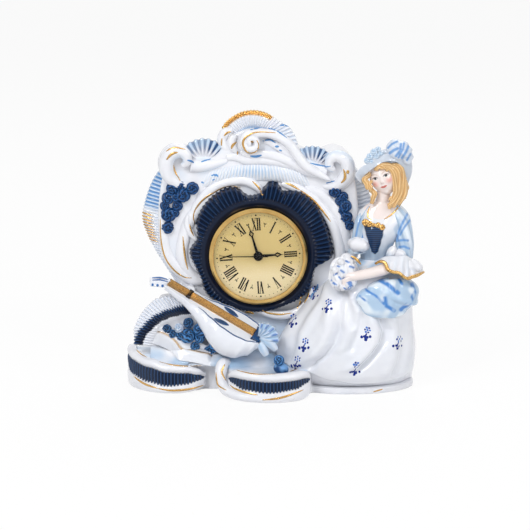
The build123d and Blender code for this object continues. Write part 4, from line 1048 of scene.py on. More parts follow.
loops = [
    roll(spots, [1.6, middle, end], 30, loop_paint, sides=24, flat=0.5)
    for spots, middle, end in (
        ([(-11, -23, 42), (-4, -25.5, 39), (1, -25.5, 33)], 3.4, 2.0),
        ([(-12, -22, 41), (-9, -24.5, 35), (-6, -25, 29)], 3.2, 2.2),
    )
]
cast("ribbon_bow_cast", [bow_fan] + loops, ["ribbon_bow"])

# Skirt: the wide skirt of the seated figure, slip-cast hollow, with deep folds that run from the
# hand and the waist down to the hem. Plain white glaze; the blue sprigs are painted on later.
def tower(sections, rows, cols, shape, paint):
    """A form through level ellipses z, x, y, rx, ry, pushed out by shape and closed at both ends."""
    def lay(u, v):
        z, x, y, rx, ry = along(sections, v)
        a = 2 * pi * u
        end = inset(v, rows / 2)
        swell = shape(a, v, z)
        spot = Vector((x + (rx + swell) * end * cos(a), y + (ry + swell) * end * sin(a), z))
        return spot, paint(spot, a)

    return skin(rows, cols, lay)


SKIRT = [
    (5, 55, 5, 45, 29), (15, 52.5, 1, 48.5, 33), (31, 52, -1, 50, 33.5), (48, 55, -3, 45, 31),
    (66, 61.5, -5, 37, 27), (80, 67, -6, 29, 21), (90, 71, -5, 18, 14), (96, 72, -3, 11, 9),
]
# Each fold: its line down the front as height and x, then its depth and the ridge beside it.
FOLD_WIDTH = 3.4
FOLDS = [
    (
        [(20, 24), (25.4, 27.4), (30.5, 33.8), (39.3, 41), (49, 44.6), (60, 45.7), (71, 45.4), (80, 44.6)],
        4.8, 2.4,
    ),
    ([(52, 55.5), (62, 53.3), (71, 51), (78, 48.5)], 3.4, 1.2),
    (
        [(20, 59), (24, 63.4), (32.7, 72), (40, 77.4), (49, 79.2), (57.8, 75.6), (64.4, 69.8), (70, 64.5)],
        4.6, 2.2,
    ),
    ([(34, 53), (38, 55.4), (52.6, 61.2), (63.6, 62.6), (73, 59)], 2.8, 1.4),
    ([(22, 7), (34, 10.8), (45, 13.4), (56, 19.2), (67, 27), (80, 34)], 3.4, 2.0),
    ([(14, 86), (23, 90), (38, 93), (52.6, 91), (62, 87)], 2.0, 1.0),
    ([(40, 20), (52, 27), (64, 34), (76, 40)], 1.2, 0.8),
]
HEM = [(0, 21), (20, 17.5), (40, 11.5), (58, 8.6), (72, 8.2), (88, 10), (102, 14)]


def fold_x(line, z):
    """The x of a fold at a height."""
    for (low, a), (high, b) in zip(line, line[1:]):
        if z <= high:
            return a + (b - a) * max(0.0, (z - low) / (high - low))
    return line[-1][1]


def skirt_shape(a, v, z):
    section = along(SKIRT, v)
    x = section[1] + section[3] * cos(a)
    front = ease(0.2, -0.3, sin(a))
    dent = 0.0
    for line, deep, ridge in FOLDS:
        low, high = line[0][0], line[-1][0]
        off = (x - fold_x(line, z)) / FOLD_WIDTH
        fade = ease(-3.5, 3.5, min(z - low, high - z))
        dent += fade * (deep * exp(-off * off) - ridge * exp(-((off + 2.2) / 1.4) ** 2))
    behind = 0.5 * sin(9 * a + 1.5 * sin(2 * a)) * ease(90, 60, z)
    hem = by_key(HEM, x)
    tuck = 4.0 * ease(hem + 0.8, hem - 1.2, z) * front
    return -dent * front + behind * (1 - front) - tuck


def skirt_paint(spot, a):
    lap = ease(83, 90, spot.z) * ease(-0.4, 0.3, cloud(*spot, 6))
    return mixed(mixed(WHITE, PALE, 0.10 + 0.15 * cloud(*spot, 22)), WASH, 0.8 * lap)


cast("skirt_cast", [tower(SKIRT, 240, 400, skirt_shape, skirt_paint)], ["skirt"])

# Overskirt: the looped-up pannier on the hip, porcelain washed pale blue with brush strokes in its
# swags, a stroke of painted shadow along its upper left edge and pale patches of painted highlight.
# It lies on the skirt and is luted to it.
def globe(u, v):
    """The angles round and up a ball, and the point of radius 1 there."""
    a, b = 2 * pi * u, pi * (v - 0.5)
    return a, b, Vector((cos(b) * cos(a), cos(b) * sin(a), sin(b)))


def viewed(spot):
    """The spot of the front view at which a place in millimetres is seen."""
    reach = Vector(spot) * MM - eye
    scale = VIEW_UNITS * EYE_REACH / VIEW_WIDTH / reach.dot(ahead)
    return VIEW_UNITS / 2 + scale * reach.x, VIEW_UNITS / 2 - scale * reach.dot(upward)


def strokes(spot, lines):
    """How strongly a place is covered by soft strokes drawn on the front view (brush strokes and painted
    shadow).
    """
    here = Vector(viewed(spot))
    cover = 0.0
    for width, *spots in lines:
        for first, last in zip(spots, spots[1:]):
            first, run = Vector(first), Vector(last) - Vector(first)
            share = min(1.0, max(0.0, (here - first).dot(run) / run.length_squared))
            cover = max(cover, ease(width, 0.3 * width, (here - first - share * run).length))
    return cover


# The stroke from (354, 284) to (380, 277), along the upper left edge of the overskirt, is painted shadow;
# the others are brush strokes.
PANNIER_STROKES_AND_SHADOW = [
    (3.4, (378, 279), (387, 284), (398, 293)), (3.0, (412, 284), (414.5, 293), (410, 303), (401, 309.5)),
    (2.8, (385, 298), (386.5, 306), (394, 310.5)),
    (2.6, (354, 284), (365, 280), (380, 277)), (2.2, (399, 279), (402, 284)),
    (1.8, (366, 290), (376, 296), (384, 304)), (1.6, (360, 296), (368, 303)),
]
SKIRT_FRONT = [(50, -31.0), (58, -31.5), (66, -31.6), (74, -30.4), (82, -27.8), (90, -22.5), (97, -14)]


def pannier_lay(u, v):
    unit = globe(u, v)[2]
    swag = sin(6.5 * unit.z + 3.2 * unit.x * unit.x + 2.2 * unit.x)
    swell = 1 + 0.04 * swag - 0.06 * hump(unit.z, 0.05 - 0.75 * unit.x, 0.11)
    x, z = 80.8 + 22.6 * unit.x * swell, 71.6 + 14.0 * unit.z * swell
    y = -13.5 + 21.8 * unit.y * swell
    if unit.y < 0:
        y = min(y, by_key(SKIRT_FRONT, x) - 7.5 * (-unit.y) ** 0.8 * swell)
    spot = Vector((x, y, z))
    # Painted highlights: pale near-white patches, laid by noise, over the pale blue wash.
    light = ease(0.0, 0.5, cloud(*spot, 8))
    colour = mixed(mixed(WASH, PALE, 0.15), (0.78, 0.86, 0.93), light)
    # The strokes laid here include the painted shadow along the upper left edge.
    cover = strokes(spot, PANNIER_STROKES_AND_SHADOW) * ease(-0.7, 0.0, cloud(*spot, 4)) if unit.y < 0.2 else 0.0
    return spot, mixed(colour, (0.06, 0.23, 0.60), cover)


cast("overskirt_cast", [skin(110, 160, pannier_lay)], ["overskirt"])

# Bodice: the jacket with its bare neckline, a navy stomacher, a gilt bow and pale blue sides.
# Porcelain, seated on the skirt.
SKIN = (0.86, 0.77, 0.74)
GREY_BLUE = (0.42, 0.54, 0.68)
BODICE = [
    (94, 72, -3, 10.0, 8.0), (104, 72.6, -3.4, 11.8, 9.5), (114, 74.2, -4, 14.4, 11.2),
    (122, 75.5, -3, 16.4, 10.8), (129, 76.2, -2, 16.6, 9.4), (134, 77, -2, 12.5, 7.6),
    (138, 76.8, -2, 6.0, 5.8),
]


def bodice_paint(spot, a):
    x, y, z = spot
    wash = 0.35 + 0.5 * ease(0.0, 0.4, cloud(x, y, z, 7)) + 0.5 * ease(112, 100, z)
    colour = mixed(WHITE, GREY_BLUE, wash)
    if y < -3:
        dip = 126.0 + 0.05 * (x - 74.5) ** 2
        bare = ease(dip - 0.3, dip + 0.3, z)
        half = by_key([(100.5, 0.4), (103, 2.6), (110, 4.6), (116, 6.2), (121.5, 7.2)], z)
        top = 121.8 - 0.16 * (x - 71.8)
        navy = ease(half + 0.3, half - 0.3, abs(x - 70.9 - 0.04 * (110 - z)))
        navy *= ease(top + 0.4, top - 0.4, z) * ease(100.4, 101.2, z)
        lapel = ease(9.0, 4.0, abs(dip - 4 - z)) * 0.8
        silk = mixed(COBALT, COBALT_THIN, 0.35 + 0.35 * sin(z * 4.2))
        colour = mixed(mixed(mixed(colour, WHITE, lapel), silk, navy), SKIN, bare)
    else:
        colour = mixed(colour, SKIN, ease(133, 135, z))
    return colour


def bodice_shape(a, v, z):
    front = ease(-0.2, -0.8, sin(a))
    bust = 1.8 * hump(z, 119, 6) * front * (0.6 + 0.4 * cos(3.2 * (a + pi / 2)))
    return bust + 0.4 * sin(10 * a) * ease(112, 102, z)


GILT_BOW = [(365.5, 222.5, 2.6), (369.5, 224, 2.2), (373.5, 225, 1.5), (378, 225.5, 2.2), (382, 227.5, 2.5)]
gilt_bow = []
for i, (x, y, r) in enumerate(GILT_BOW):
    gilt_bow.append(rose(seen(x, y, -14.4), r, (0.06 * (i - 2), -1, 0.1), i + 1, GOLD, GOLD))
for form in gilt_bow:
    for vert in form.verts:
        painted(vert, form, GOLD, 0.9)
bodice = tower(BODICE, 120, 180, bodice_shape, bodice_paint)
cast("bodice_cast", [bodice] + gilt_bow, ["bodice"])

# Head: a plain doll's face of calm, even features with a short neck that is luted into the bodice.
# Porcelain, pink under clear glaze; eyes, brows and lips are painted with a fine brush.
HEAD_SPOT = Vector((76.7, -4.8, 155.8))
face_turn = Matrix.Rotation(radians(-20), 3, "Y") @ Matrix.Rotation(radians(-11), 3, "Z")
LIP = (0.60, 0.16, 0.13)
EYE_X, EYE_Z = 4.1, 1.5


def twin(value, middle, width):
    """Two bumps, one on either side."""
    return hump(value, -middle, width) + hump(value, middle, width)


def head_lay(u, v):
    n = globe(u, v)[2]
    x, z = 9.5 * n.x, (11.4 if n.z > 0 else 14.0) * n.z
    x *= 1 - 0.16 * ease(-3.0, -13.0, z)
    y = 9.6 * n.y * (1 - 0.08 * ease(-6, -11, z))
    colour = SKIN
    if n.y < -0.1:
        front = ease(-0.1, -0.45, n.y)
        nose = hump(x, 0, 1.0) * (1.6 * hump(z, -2.0, 1.3) + 0.7 * ease(-2.0, 2.5, z) * ease(5.0, 1.5, z))
        sockets = 0.8 * twin(x, EYE_X, 1.9) * hump(z, EYE_Z, 1.4)
        mouth = 0.6 * hump(x, 0, 2.0) * hump(z, -5.8, 1.0) - 0.35 * hump(x, 0, 2.3) * hump(z, -5.9, 0.22)
        cheeks = 0.6 * twin(x, 4.6, 2.2) * hump(z, -2.8, 2.4)
        chin = 0.9 * hump(x, 0, 2.2) * hump(z, -11.2, 1.8)
        lids = 0.4 * twin(x, EYE_X, 1.5) * hump(z, EYE_Z, 0.8)
        y -= front * (nose - sockets + mouth + cheeks + chin + lids)
        blush = 0.85 * twin(x, 5.4, 2.4) * hump(z, -2.6, 2.2)
        colour = mixed(colour, (0.80, 0.36, 0.30), blush)
        lips = (x / 2.4) ** 2 + ((z + 5.9 - 0.15 * abs(x)) / 0.80) ** 2
        colour = mixed(colour, LIP, ease(1.25, 0.8, lips))
        for side in (-1, 1):
            ex, ez = x - side * EYE_X, z - EYE_Z
            white = ease(1.2, 0.85, (ex / 1.9) ** 2 + (ez / 0.95) ** 2)
            colour = mixed(colour, (0.78, 0.78, 0.78), white)
            colour = mixed(colour, (0.03, 0.035, 0.04), white * ease(1.1, 0.85, hypot(ex, ez)))
            lash = hump(ez, 0.85 - 0.18 * ex * ex, 0.34) * ease(2.5, 2.0, abs(ex))
            brow = hump(ez, 2.9 - 0.10 * (ex - side * 0.4) ** 2, 0.34) * ease(2.7, 2.0, abs(ex))
            colour = mixed(colour, (0.06, 0.035, 0.03), lash)
            colour = mixed(colour, (0.42, 0.22, 0.10), 0.6 * brow)
        colour = mixed(colour, (0.70, 0.42, 0.36), 0.5 * twin(x, 0.6, 0.35) * hump(z, -2.9, 0.35))
    return HEAD_SPOT + face_turn @ Vector((x, y, z)), colour


face_glaze = glaze("face_glaze", 0.03, 0.16)
neck = roll([(76.6, -2, 133), (77.2, -3.2, 138), (77.8, -4.2, 148)], [6.4, 5.2, 4.8], 30, SKIN, sides=24)
cast("head_cast", [skin(170, 240, head_lay), neck], ["head"], face_glaze)

# Hair: a full head of waved golden hair that falls on both shoulders. Porcelain paste, modelled in
# strands on the head and glazed amber.
HAIR = (0.88, 0.60, 0.28)
HAIR_DEEP = (0.56, 0.28, 0.08)
HAIR_SPOT = Vector((79.0, 0.6, 156.0))
hair_glaze = glaze("hair_glaze", 0.15, 0.10)


def hair_lay(u, v):
    a, b, n = globe(u, v)
    strand = sin(30 * a + 4 * sin(3 * b)) * cos(b) ** 0.5
    swell = 1 + 0.016 * strand
    x, y, z = 11.0 * n.x * swell, 9.4 * n.y * swell, 12.6 * n.z * swell
    spot = HAIR_SPOT + face_turn @ Vector((x, y, z))
    return spot, mixed(HAIR_DEEP, HAIR, 0.55 + 0.45 * strand)


def lock(spots, radii):
    """A tress along spots, of strands that wind slowly round it."""
    def lay(u, v):
        spot, side, out = square_to(spots, v, 0.02)
        end = inset(v, 14)
        strand = sin(2 * pi * (6 * u + 1.4 * v) + 2.0 * sin(9 * v + spots[0][0]))
        r = along([(w,) for w in radii], v)[0] * rounded(end) * (1 + 0.10 * strand)
        a = 2 * pi * u
        spot += 0.55 * end * sin(13 * v + spots[0][2]) * side
        return spot + r * (cos(a) * side + sin(a) * out), mixed(HAIR_DEEP, HAIR, 0.62 + 0.38 * strand)

    return skin(60, 44, lay)


LOCKS = [
    (
        [
            (384, 164, -9), (397, 166, -9), (402.5, 175, -7), (403.5, 187, -7), (402, 197, -8),
            (398, 205, -10),
        ],
        [1.5, 2.2, 2.5, 2.6, 2.5, 1.4],
    ),
    (
        [
            (383, 165, -11), (394, 168, -11), (398.5, 178, -9.5), (399.5, 189, -9), (397, 199, -10),
            (393.5, 208, -12),
        ],
        [1.5, 2.1, 2.4, 2.5, 2.4, 1.3],
    ),
    (
        [
            (381, 166, -12.5), (390, 169, -12.5), (394.5, 178, -11.2), (396, 188, -10.5), (394, 198, -11),
            (390.5, 208, -12.5),
        ],
        [1.3, 1.8, 2.0, 2.3, 2.3, 1.2],
    ),
    ([(391, 196, -11.5), (391.5, 202, -12.2), (388.5, 209, -13)], [1.2, 1.9, 0.9]),
    ([(392, 168, -12), (385, 164.5, -13.2), (378.5, 166, -13.2), (374, 170, -12.4)], [1.4, 1.9, 1.8, 0.9]),
    ([(388, 170.5, -12.8), (382, 167.5, -13.8), (376, 170, -13.4)], [0.9, 1.2, 0.7]),
    ([(370, 172, -9.5), (366, 178, -9.5), (366.5, 184, -10), (370, 189, -10.6)], [1.2, 2.1, 2.3, 1.2]),
    ([(371, 180, -9.5), (370, 186, -11), (372, 191, -11)], [0.9, 1.6, 0.9]),
    ([(369, 186, -8.5), (373, 191.5, -9.5), (374, 197, -9.8), (370.5, 203.5, -10.5)], [1.2, 1.9, 2.0, 1.1]),
    ([(404, 176, -2), (405, 188, -3), (403, 199, -5)], [2.0, 2.4, 1.4]),
]
tresses = [lock([seen(*spot) for spot in spots], radii) for spots, radii in LOCKS]
cast("hair_cast", [skin(80, 240, hair_lay)] + tresses, ["hair"], hair_glaze)

# Hat: a wide bonnet brim that frames the head aslant, with a low crown behind, a posy on the left
# and a full plume on the right. Porcelain, luted to the hair; white and grey-blue glaze, with grey
# painted shade on the underside of the brim.
BRIM_OUT = [
    (363, 185, -9), (358, 180, -12), (355, 175, -13), (358, 170, -13), (365, 164, -13), (373, 159, -13),
    (386, 154, -12), (400, 152, -10), (410, 157, -7), (412.5, 166, -4), (411.5, 175, -2), (408, 184, -1),
]
BRIM_IN = [
    (364.5, 182, -7), (363.5, 178.5, -9), (364, 176, -11), (366.5, 173.5, -13), (370.5, 170, -14.4),
    (376.5, 166, -15), (384, 162, -15), (394, 161.5, -13.5), (401, 165.5, -10), (404.5, 172, -6),
    (405.5, 178, -4), (406, 183, -2),
]
# Painted shade for the underside of the brim, which is white glaze.
SHADE = (0.52, 0.58, 0.66)


def brim_lay(u, v):
    out, inn = along(BRIM_OUT, u), along(BRIM_IN, u)
    face, s = leaf(v, 0.55)
    x, y, depth = mixed(inn, out, s)
    depth += 0.0 if face else 1.8 * sin(pi * s)
    # The front face of the brim is its underside: painted grey shade, white again at the outer rim.
    underside_shade = mixed(mixed(WHITE, SHADE, 0.85), WHITE, ease(0.85, 1.0, s))
    return seen(x, y, depth), underside_shade if face else mixed(WHITE, WASH, 0.35)


def ball(centre, radii, rows, cols, shape, paint, lean=0.0):
    """A rounded form, pushed out by shape(a, unit) and tipped sideways by lean degrees."""
    tip = Matrix.Rotation(radians(lean), 3, "Y")

    def lay(u, v):
        a, b, unit = globe(u, v)
        swell = 1 + shape(a, unit)
        spot = Vector(centre) + tip @ Vector([n * r * swell for n, r in zip(unit, radii)])
        return spot, paint(unit, spot)

    return skin(rows, cols, lay)


def waves(depth, count):
    """A shape for a ball: even waves round it."""
    return lambda a, unit: depth * sin(count * a)


def crown_paint(unit, spot):
    return mixed(WHITE, WASH, 0.3 + 0.5 * ease(0, 0.5, cloud(*spot, 6)))


hat_forms = [
    skin(36, 160, brim_lay),
    ball((80.5, 0.5, 163.8), (14.5, 11.5, 10.6), 50, 80, waves(0.02, 8), crown_paint, -18),
]
HAT_POSY = [
    (367, 160.5, 2.2), (370, 156.5, 2.6), (374, 152, 2.6), (378, 149.5, 2.2), (376.5, 156, 2.2),
    (371.5, 161.5, 2.0), (380, 153.5, 1.8),
]
POSY_DEEP, POSY_LIGHT = (0.34, 0.54, 0.76), (0.82, 0.88, 0.93)
for i, (x, y, r) in enumerate(HAT_POSY):
    hat_forms.append(rose(seen(x, y, -12.5), r, (-0.2, -1, 0.4), i, POSY_DEEP, POSY_LIGHT))
PLUME_STROKES = [
    (2.2, (390, 153), (394, 150), (397.5, 148.5)), (2.0, (396, 156), (400, 151), (401, 144)),
    (2.0, (402, 158), (406, 152), (408.5, 146)), (1.6, (388, 148), (392, 144), (397, 141.5)),
    (1.6, (398.5, 157.5), (403, 149), (404, 143)), (1.6, (407, 160), (410.5, 154)),
]


def plume_paint(unit, spot):
    return mixed(mixed(WHITE, WASH, 0.35), (0.10, 0.30, 0.66), 0.85 * strokes(spot, PLUME_STROKES))


def plume_shape(a, unit):
    return 0.06 * sin(5.0 * atan2(unit.z - 0.3, unit.x + 0.2) + 4.5 * unit.z)


hat_forms.append(ball(seen(398.5, 149.5, -10), (9.6, 7.0, 7.0), 60, 90, plume_shape, plume_paint, 14))
hat_forms.append(ball(seen(406, 155.5, -7), (5.0, 5.0, 6.4), 40, 60, plume_shape, plume_paint, -20))
cast("hat_cast", hat_forms, ["hat"])

# Sleeves, forearm and cuffs: pale blue sleeves with a few brush strokes, the near arm laid across
# the lap, with a deep lace cuff edged in gold. The far sleeve ends in a turned-back cuff. All are
# porcelain, luted to the bodice and the lap.
SLEEVE_STROKES = [
    (1.8, (397, 241), (398.5, 232), (403, 222), (408, 213)), (1.6, (400, 235), (404.5, 227), (410, 220)),
    (1.8, (399, 240.5), (403.5, 240), (408, 240.5)),
    (1.8, (399.5, 247), (404, 246.5), (409, 248.5)), (1.4, (360, 219), (357.5, 228), (356, 236)),
    (1.4, (364, 232), (362, 240)),
]


def sleeve_paint(spot, a):
    light = 0.5 + 0.5 * sin(5 * a + 0.12 * spot.z)
    colour = mixed((0.40, 0.53, 0.68), (0.80, 0.86, 0.92), light * ease(-0.5, 0.4, cloud(*spot, 9)))
    cover = strokes(spot, SLEEVE_STROKES) if spot.y < -4 else 0.0
    return mixed(colour, (0.10, 0.28, 0.62), 0.85 * cover)


def puff(a, v, z):
    return 0.45 * sin(9 * a + 0.3 * z)


LEFT_SLEEVE = [
    (97, 92.8, -9, 5.4, 6.0), (104, 92.8, -8.5, 6.2, 7.0), (112, 92.2, -6, 6.4, 7.4),
    (124, 90, -4, 7.0, 7.4), (131, 87, -3, 6.2, 6.4), (137, 83, -3, 3.4, 4),
]
RIGHT_SLEEVE = [
    (101, 58.5, -9, 6.4, 5.8), (106, 59.5, -8, 6.2, 6.0), (112, 61, -6, 5.8, 5.8),
    (124, 63.6, -4, 5.8, 6.2), (130, 66.2, -3, 4.8, 5.2), (135, 69, -3, 2.5, 3.5),
]
left_sleeve, right_sleeve = (
    tower(rings, 80, 90, puff, sleeve_paint)
    for rings in (LEFT_SLEEVE, RIGHT_SLEEVE)
)
cast("left_sleeve_cast", [left_sleeve], ["left_sleeve"])

CUFF_LOW = [
    (375, 264, -24), (380, 261.5, -26), (385, 263, -28), (388, 269.5, -30), (393, 272, -30.5),
    (399, 273, -30), (404, 277, -29), (408, 278.5, -27.5), (412, 277, -25), (417, 275.5, -21),
    (421, 273.5, -17), (424, 272, -12),
]
CUFF_TOP = [
    (378, 260, -19), (383, 257, -20), (388, 256, -21), (393, 256, -21), (398, 256, -21), (402, 255.5, -20),
    (405, 255, -19), (408, 256, -17), (411, 258, -15), (414, 261, -12), (417, 264, -9), (420, 267, -7),
]


def cuff_lay(u, v):
    low, top = along(CUFF_LOW, u), along(CUFF_TOP, u)
    face, s = leaf(v, 0.5)
    frill = sin(2 * pi * 7.5 * u) * (1 - s)
    x, y, depth = mixed(low, top, s)
    depth += 0.9 * frill
    if not face:
        depth += 2.2 * min(1.0, 6 * (1 - s)) * min(1.0, 5 * s) * inset(u, 10)
    return seen(x, y - 1.0 * sin(pi * s), depth), mixed(WHITE, PALE, 0.2 - 0.2 * frill)


def flap_paint(unit, spot):
    return mixed(WHITE, WASH, 0.5 * ease(0.4, -0.6, unit.z))


lace = skin(36, 150, cuff_lay)
edge_line = [seen(x, y, depth - 0.4) for x, y, depth in CUFF_LOW]
lace_edge = roll(edge_line, [0.9, 1.3, 1.2, 1.2, 1.3, 0.8], 160, GOLD, 0.95, sides=12)
flaps = [
    ball(seen(391.5, 253, -17), (3.4, 2.6, 5.2), 30, 40, waves(0.06, 3), flap_paint, 24),
    ball(seen(400, 256, -16), (4.6, 2.8, 4.8), 30, 40, waves(0.06, 4), flap_paint, -30),
]
hidden_cuff = ball((92, -12.5, 93), (13.5, 9.5, 6.0), 40, 60, waves(0.05, 9), flap_paint, 12)
cast("left_cuff_cast", [lace, lace_edge, hidden_cuff] + flaps, ["left_cuff"])

FOREARM = [
    (92, -14.5, 97), (84, -19.5, 94.5), (76, -26, 92.2), (66, -29.6, 90.4), (57, -30.4, 88.8),
    (50, -29.4, 88),
]
arm = [roll(FOREARM, [4.0, 4.2, 4.2, 3.8, 3.4, 2.6], 60, SKIN, sides=24)]
for i in range(4):
    y, z = i * 0.4, i * 1.5
    finger = [(55, y - 30.9, 88.5 - i * 1.4), (51, y - 32.6, 87.4 - z), (47.5, y - 32, 85.4 - z)]
    arm.append(roll(finger, [1.4, 1.3, 1.0], 20, SKIN, sides=12))
cast("left_forearm_cast", arm, ["left_forearm"], face_glaze)


def turned_paint(unit, spot):
    shade = mixed(WHITE, WASH, 0.4 * ease(0.1, 0.5, cloud(*spot, 5)))
    return mixed(shade, COBALT_THIN, ease(-0.62, -0.80, unit.z) * ease(-0.1, 0.3, unit.x))


far_cuff = ball(seen(358.5, 245, -12), (8.0, 5.8, 5.4), 40, 60, waves(0.05, 5), turned_paint, 10)
cast("right_sleeve_cast", [right_sleeve, far_cuff], ["right_sleeve"])

# Handkerchief: a gathered lace cloth held in the lap with a posy on it, white with blue blossoms
# and a gold upper edge. Porcelain paste, gathered by hand and luted to the skirt.
def cloth_shape(a, unit):
    return 0.11 * sin(6 * a + 3 * unit.z) * (0.6 - 0.4 * unit.z) + 0.06 * sin(13 * a + 5 * unit.z)


POSY_STROKES = [
    (2.6, (344, 279), (347.5, 281), (350, 284.5)), (2.2, (350, 281), (351.5, 286), (349, 288)),
    (1.8, (333.5, 283), (336, 285)), (1.6, (341, 270.5), (344, 272.5)), (1.8, (350, 266.5), (353.5, 267.5)),
    (1.4, (334, 275), (337, 273.5)), (1.5, (346, 261), (349, 262.5)), (1.4, (339, 277), (341, 279)),
    (1.3, (337.5, 266), (340, 267)), (1.4, (351.5, 257.5), (353.5, 259)), (1.2, (330.5, 279), (331.5, 281)),
    (1.3, (344, 288), (346.5, 289.5)),
]


def cloth_paint(unit, spot):
    colour = mixed(WHITE, PALE, 0.3 * ease(0.1, 0.5, cloud(*spot, 5)))
    cover = strokes(spot, POSY_STROKES) * ease(-0.55, -0.15, cloud(*spot, 1.6)) if spot.y < -24 else 0.0
    return mixed(colour, (0.05, 0.20, 0.56), 0.9 * cover)


posy = [
    ball((48.5, -24.5, 92.5), (9.5, 7.4, 8.5), 50, 80, cloth_shape, cloth_paint, 14),
    ball((45.5, -25, 86.5), (7.2, 6.8, 8.5), 50, 80, cloth_shape, cloth_paint, -12),
    ball((53.2, -27, 84.0), (4.6, 5.4, 5.6), 40, 60, cloth_shape, cloth_paint, 10),
    ball((51.5, -24, 99), (5.5, 5.0, 4.2), 40, 60, cloth_shape, cloth_paint, 30),
]
BLOSSOMS = [(348.5, 284, 3.4), (336, 284, 2.6), (343, 287, 2.6), (341, 262, 2.4), (335, 270, 2.4)]
for i, (x, y, r) in enumerate(BLOSSOMS):
    posy.append(ball(seen(x, y, -30.5), (r, r, r), 30, 44, cloth_shape, cloth_paint, 20 * i))
cloth_edge = [seen(351, 256, -29), seen(355, 258, -29.5), seen(358, 261, -29.5), seen(361, 264.5, -29)]
posy.append(roll(cloth_edge, [0.5, 1.0, 1.0, 0.5], 40, GOLD, 0.95, sides=10))
cast("handkerchief_cast", posy, ["handkerchief"])

# Shoe: the toe of a blue slipper with a rosette, peeping from under the hem. Porcelain, luted to
# the ground.
def shoe_paint(unit, spot):
    return mixed(COBALT_THIN, (0.20, 0.44, 0.78), ease(-0.1, 0.5, unit.z + 0.5 * cloud(*spot, 3)))


toe = ball((4.2, -36, 22.3), (5.4, 4.8, 4.2), 30, 44, waves(0.06, 3), shoe_paint, 14)
rosette = rose(seen(279, 360.5, -38), 3.8, (-0.1, -1, 0.4), 4, COBALT, (0.10, 0.32, 0.70))
cast("shoe_cast", [toe, rosette], ["shoe"], cobalt_glaze)

# Brushwork: gold and blue lines drawn on the fired pieces with a fine brush. Each line follows
# the front view and lies on the glaze that it meets, a fraction of a millimetre thick.
whole = bmesh.new()
for piece in bpy.data.objects:
    if piece.type == "MESH" and piece.name not in frame["nodes"] and piece is not floor:
        whole.from_mesh(piece.data)
solid = BVHTree.FromBMesh(whole)
whole.free()
gilding, spot = start("gilding")
wear = spot.speckle(0.7, 3.0)
tarnish = spot.speckle(6.0, 2.0)
gold_tone = wear.shades((0.32, (0.34, 0.17, 0.05)), (0.58, GOLD))
spot.end(spot.surface(gold_tone, 0.14 + tarnish * 0.20, wear, 0.03, Metallic=0.75 + tarnish * 0.4))
STEP_IN_DEPTH = 9.0


def brushed(spots, width, colour):
    """A line of paint through spots of the front view, laid on the glaze."""
    hits = []
    count = 6 * (len(spots) - 1)
    for i in range(count + 1):
        x, y = along(spots, i / count)
        found, normal, *_ = solid.ray_cast(eye, sight(x, y))
        if found is not None:
            found = found / MM
            hits.append((Vector((found.x, found.y, max(found.z, 1.0))), normal))
    if len(hits) < 4:
        return None
    middle = sorted(spot.y for spot, normal in hits)[len(hits) // 2]
    kept = [hit for hit in hits if abs(hit[0].y - middle) < STEP_IN_DEPTH]
    if len(kept) < 4:
        return None
    places, normals = zip(*kept)
    lean = sum(normals, Vector()).normalized()
    radii = [width * 0.6, width * 1.3, width * 1.3, width * 0.5]
    return roll(places, radii, len(kept) * 2, colour, sides=8, flat=0.35, facing=lean)


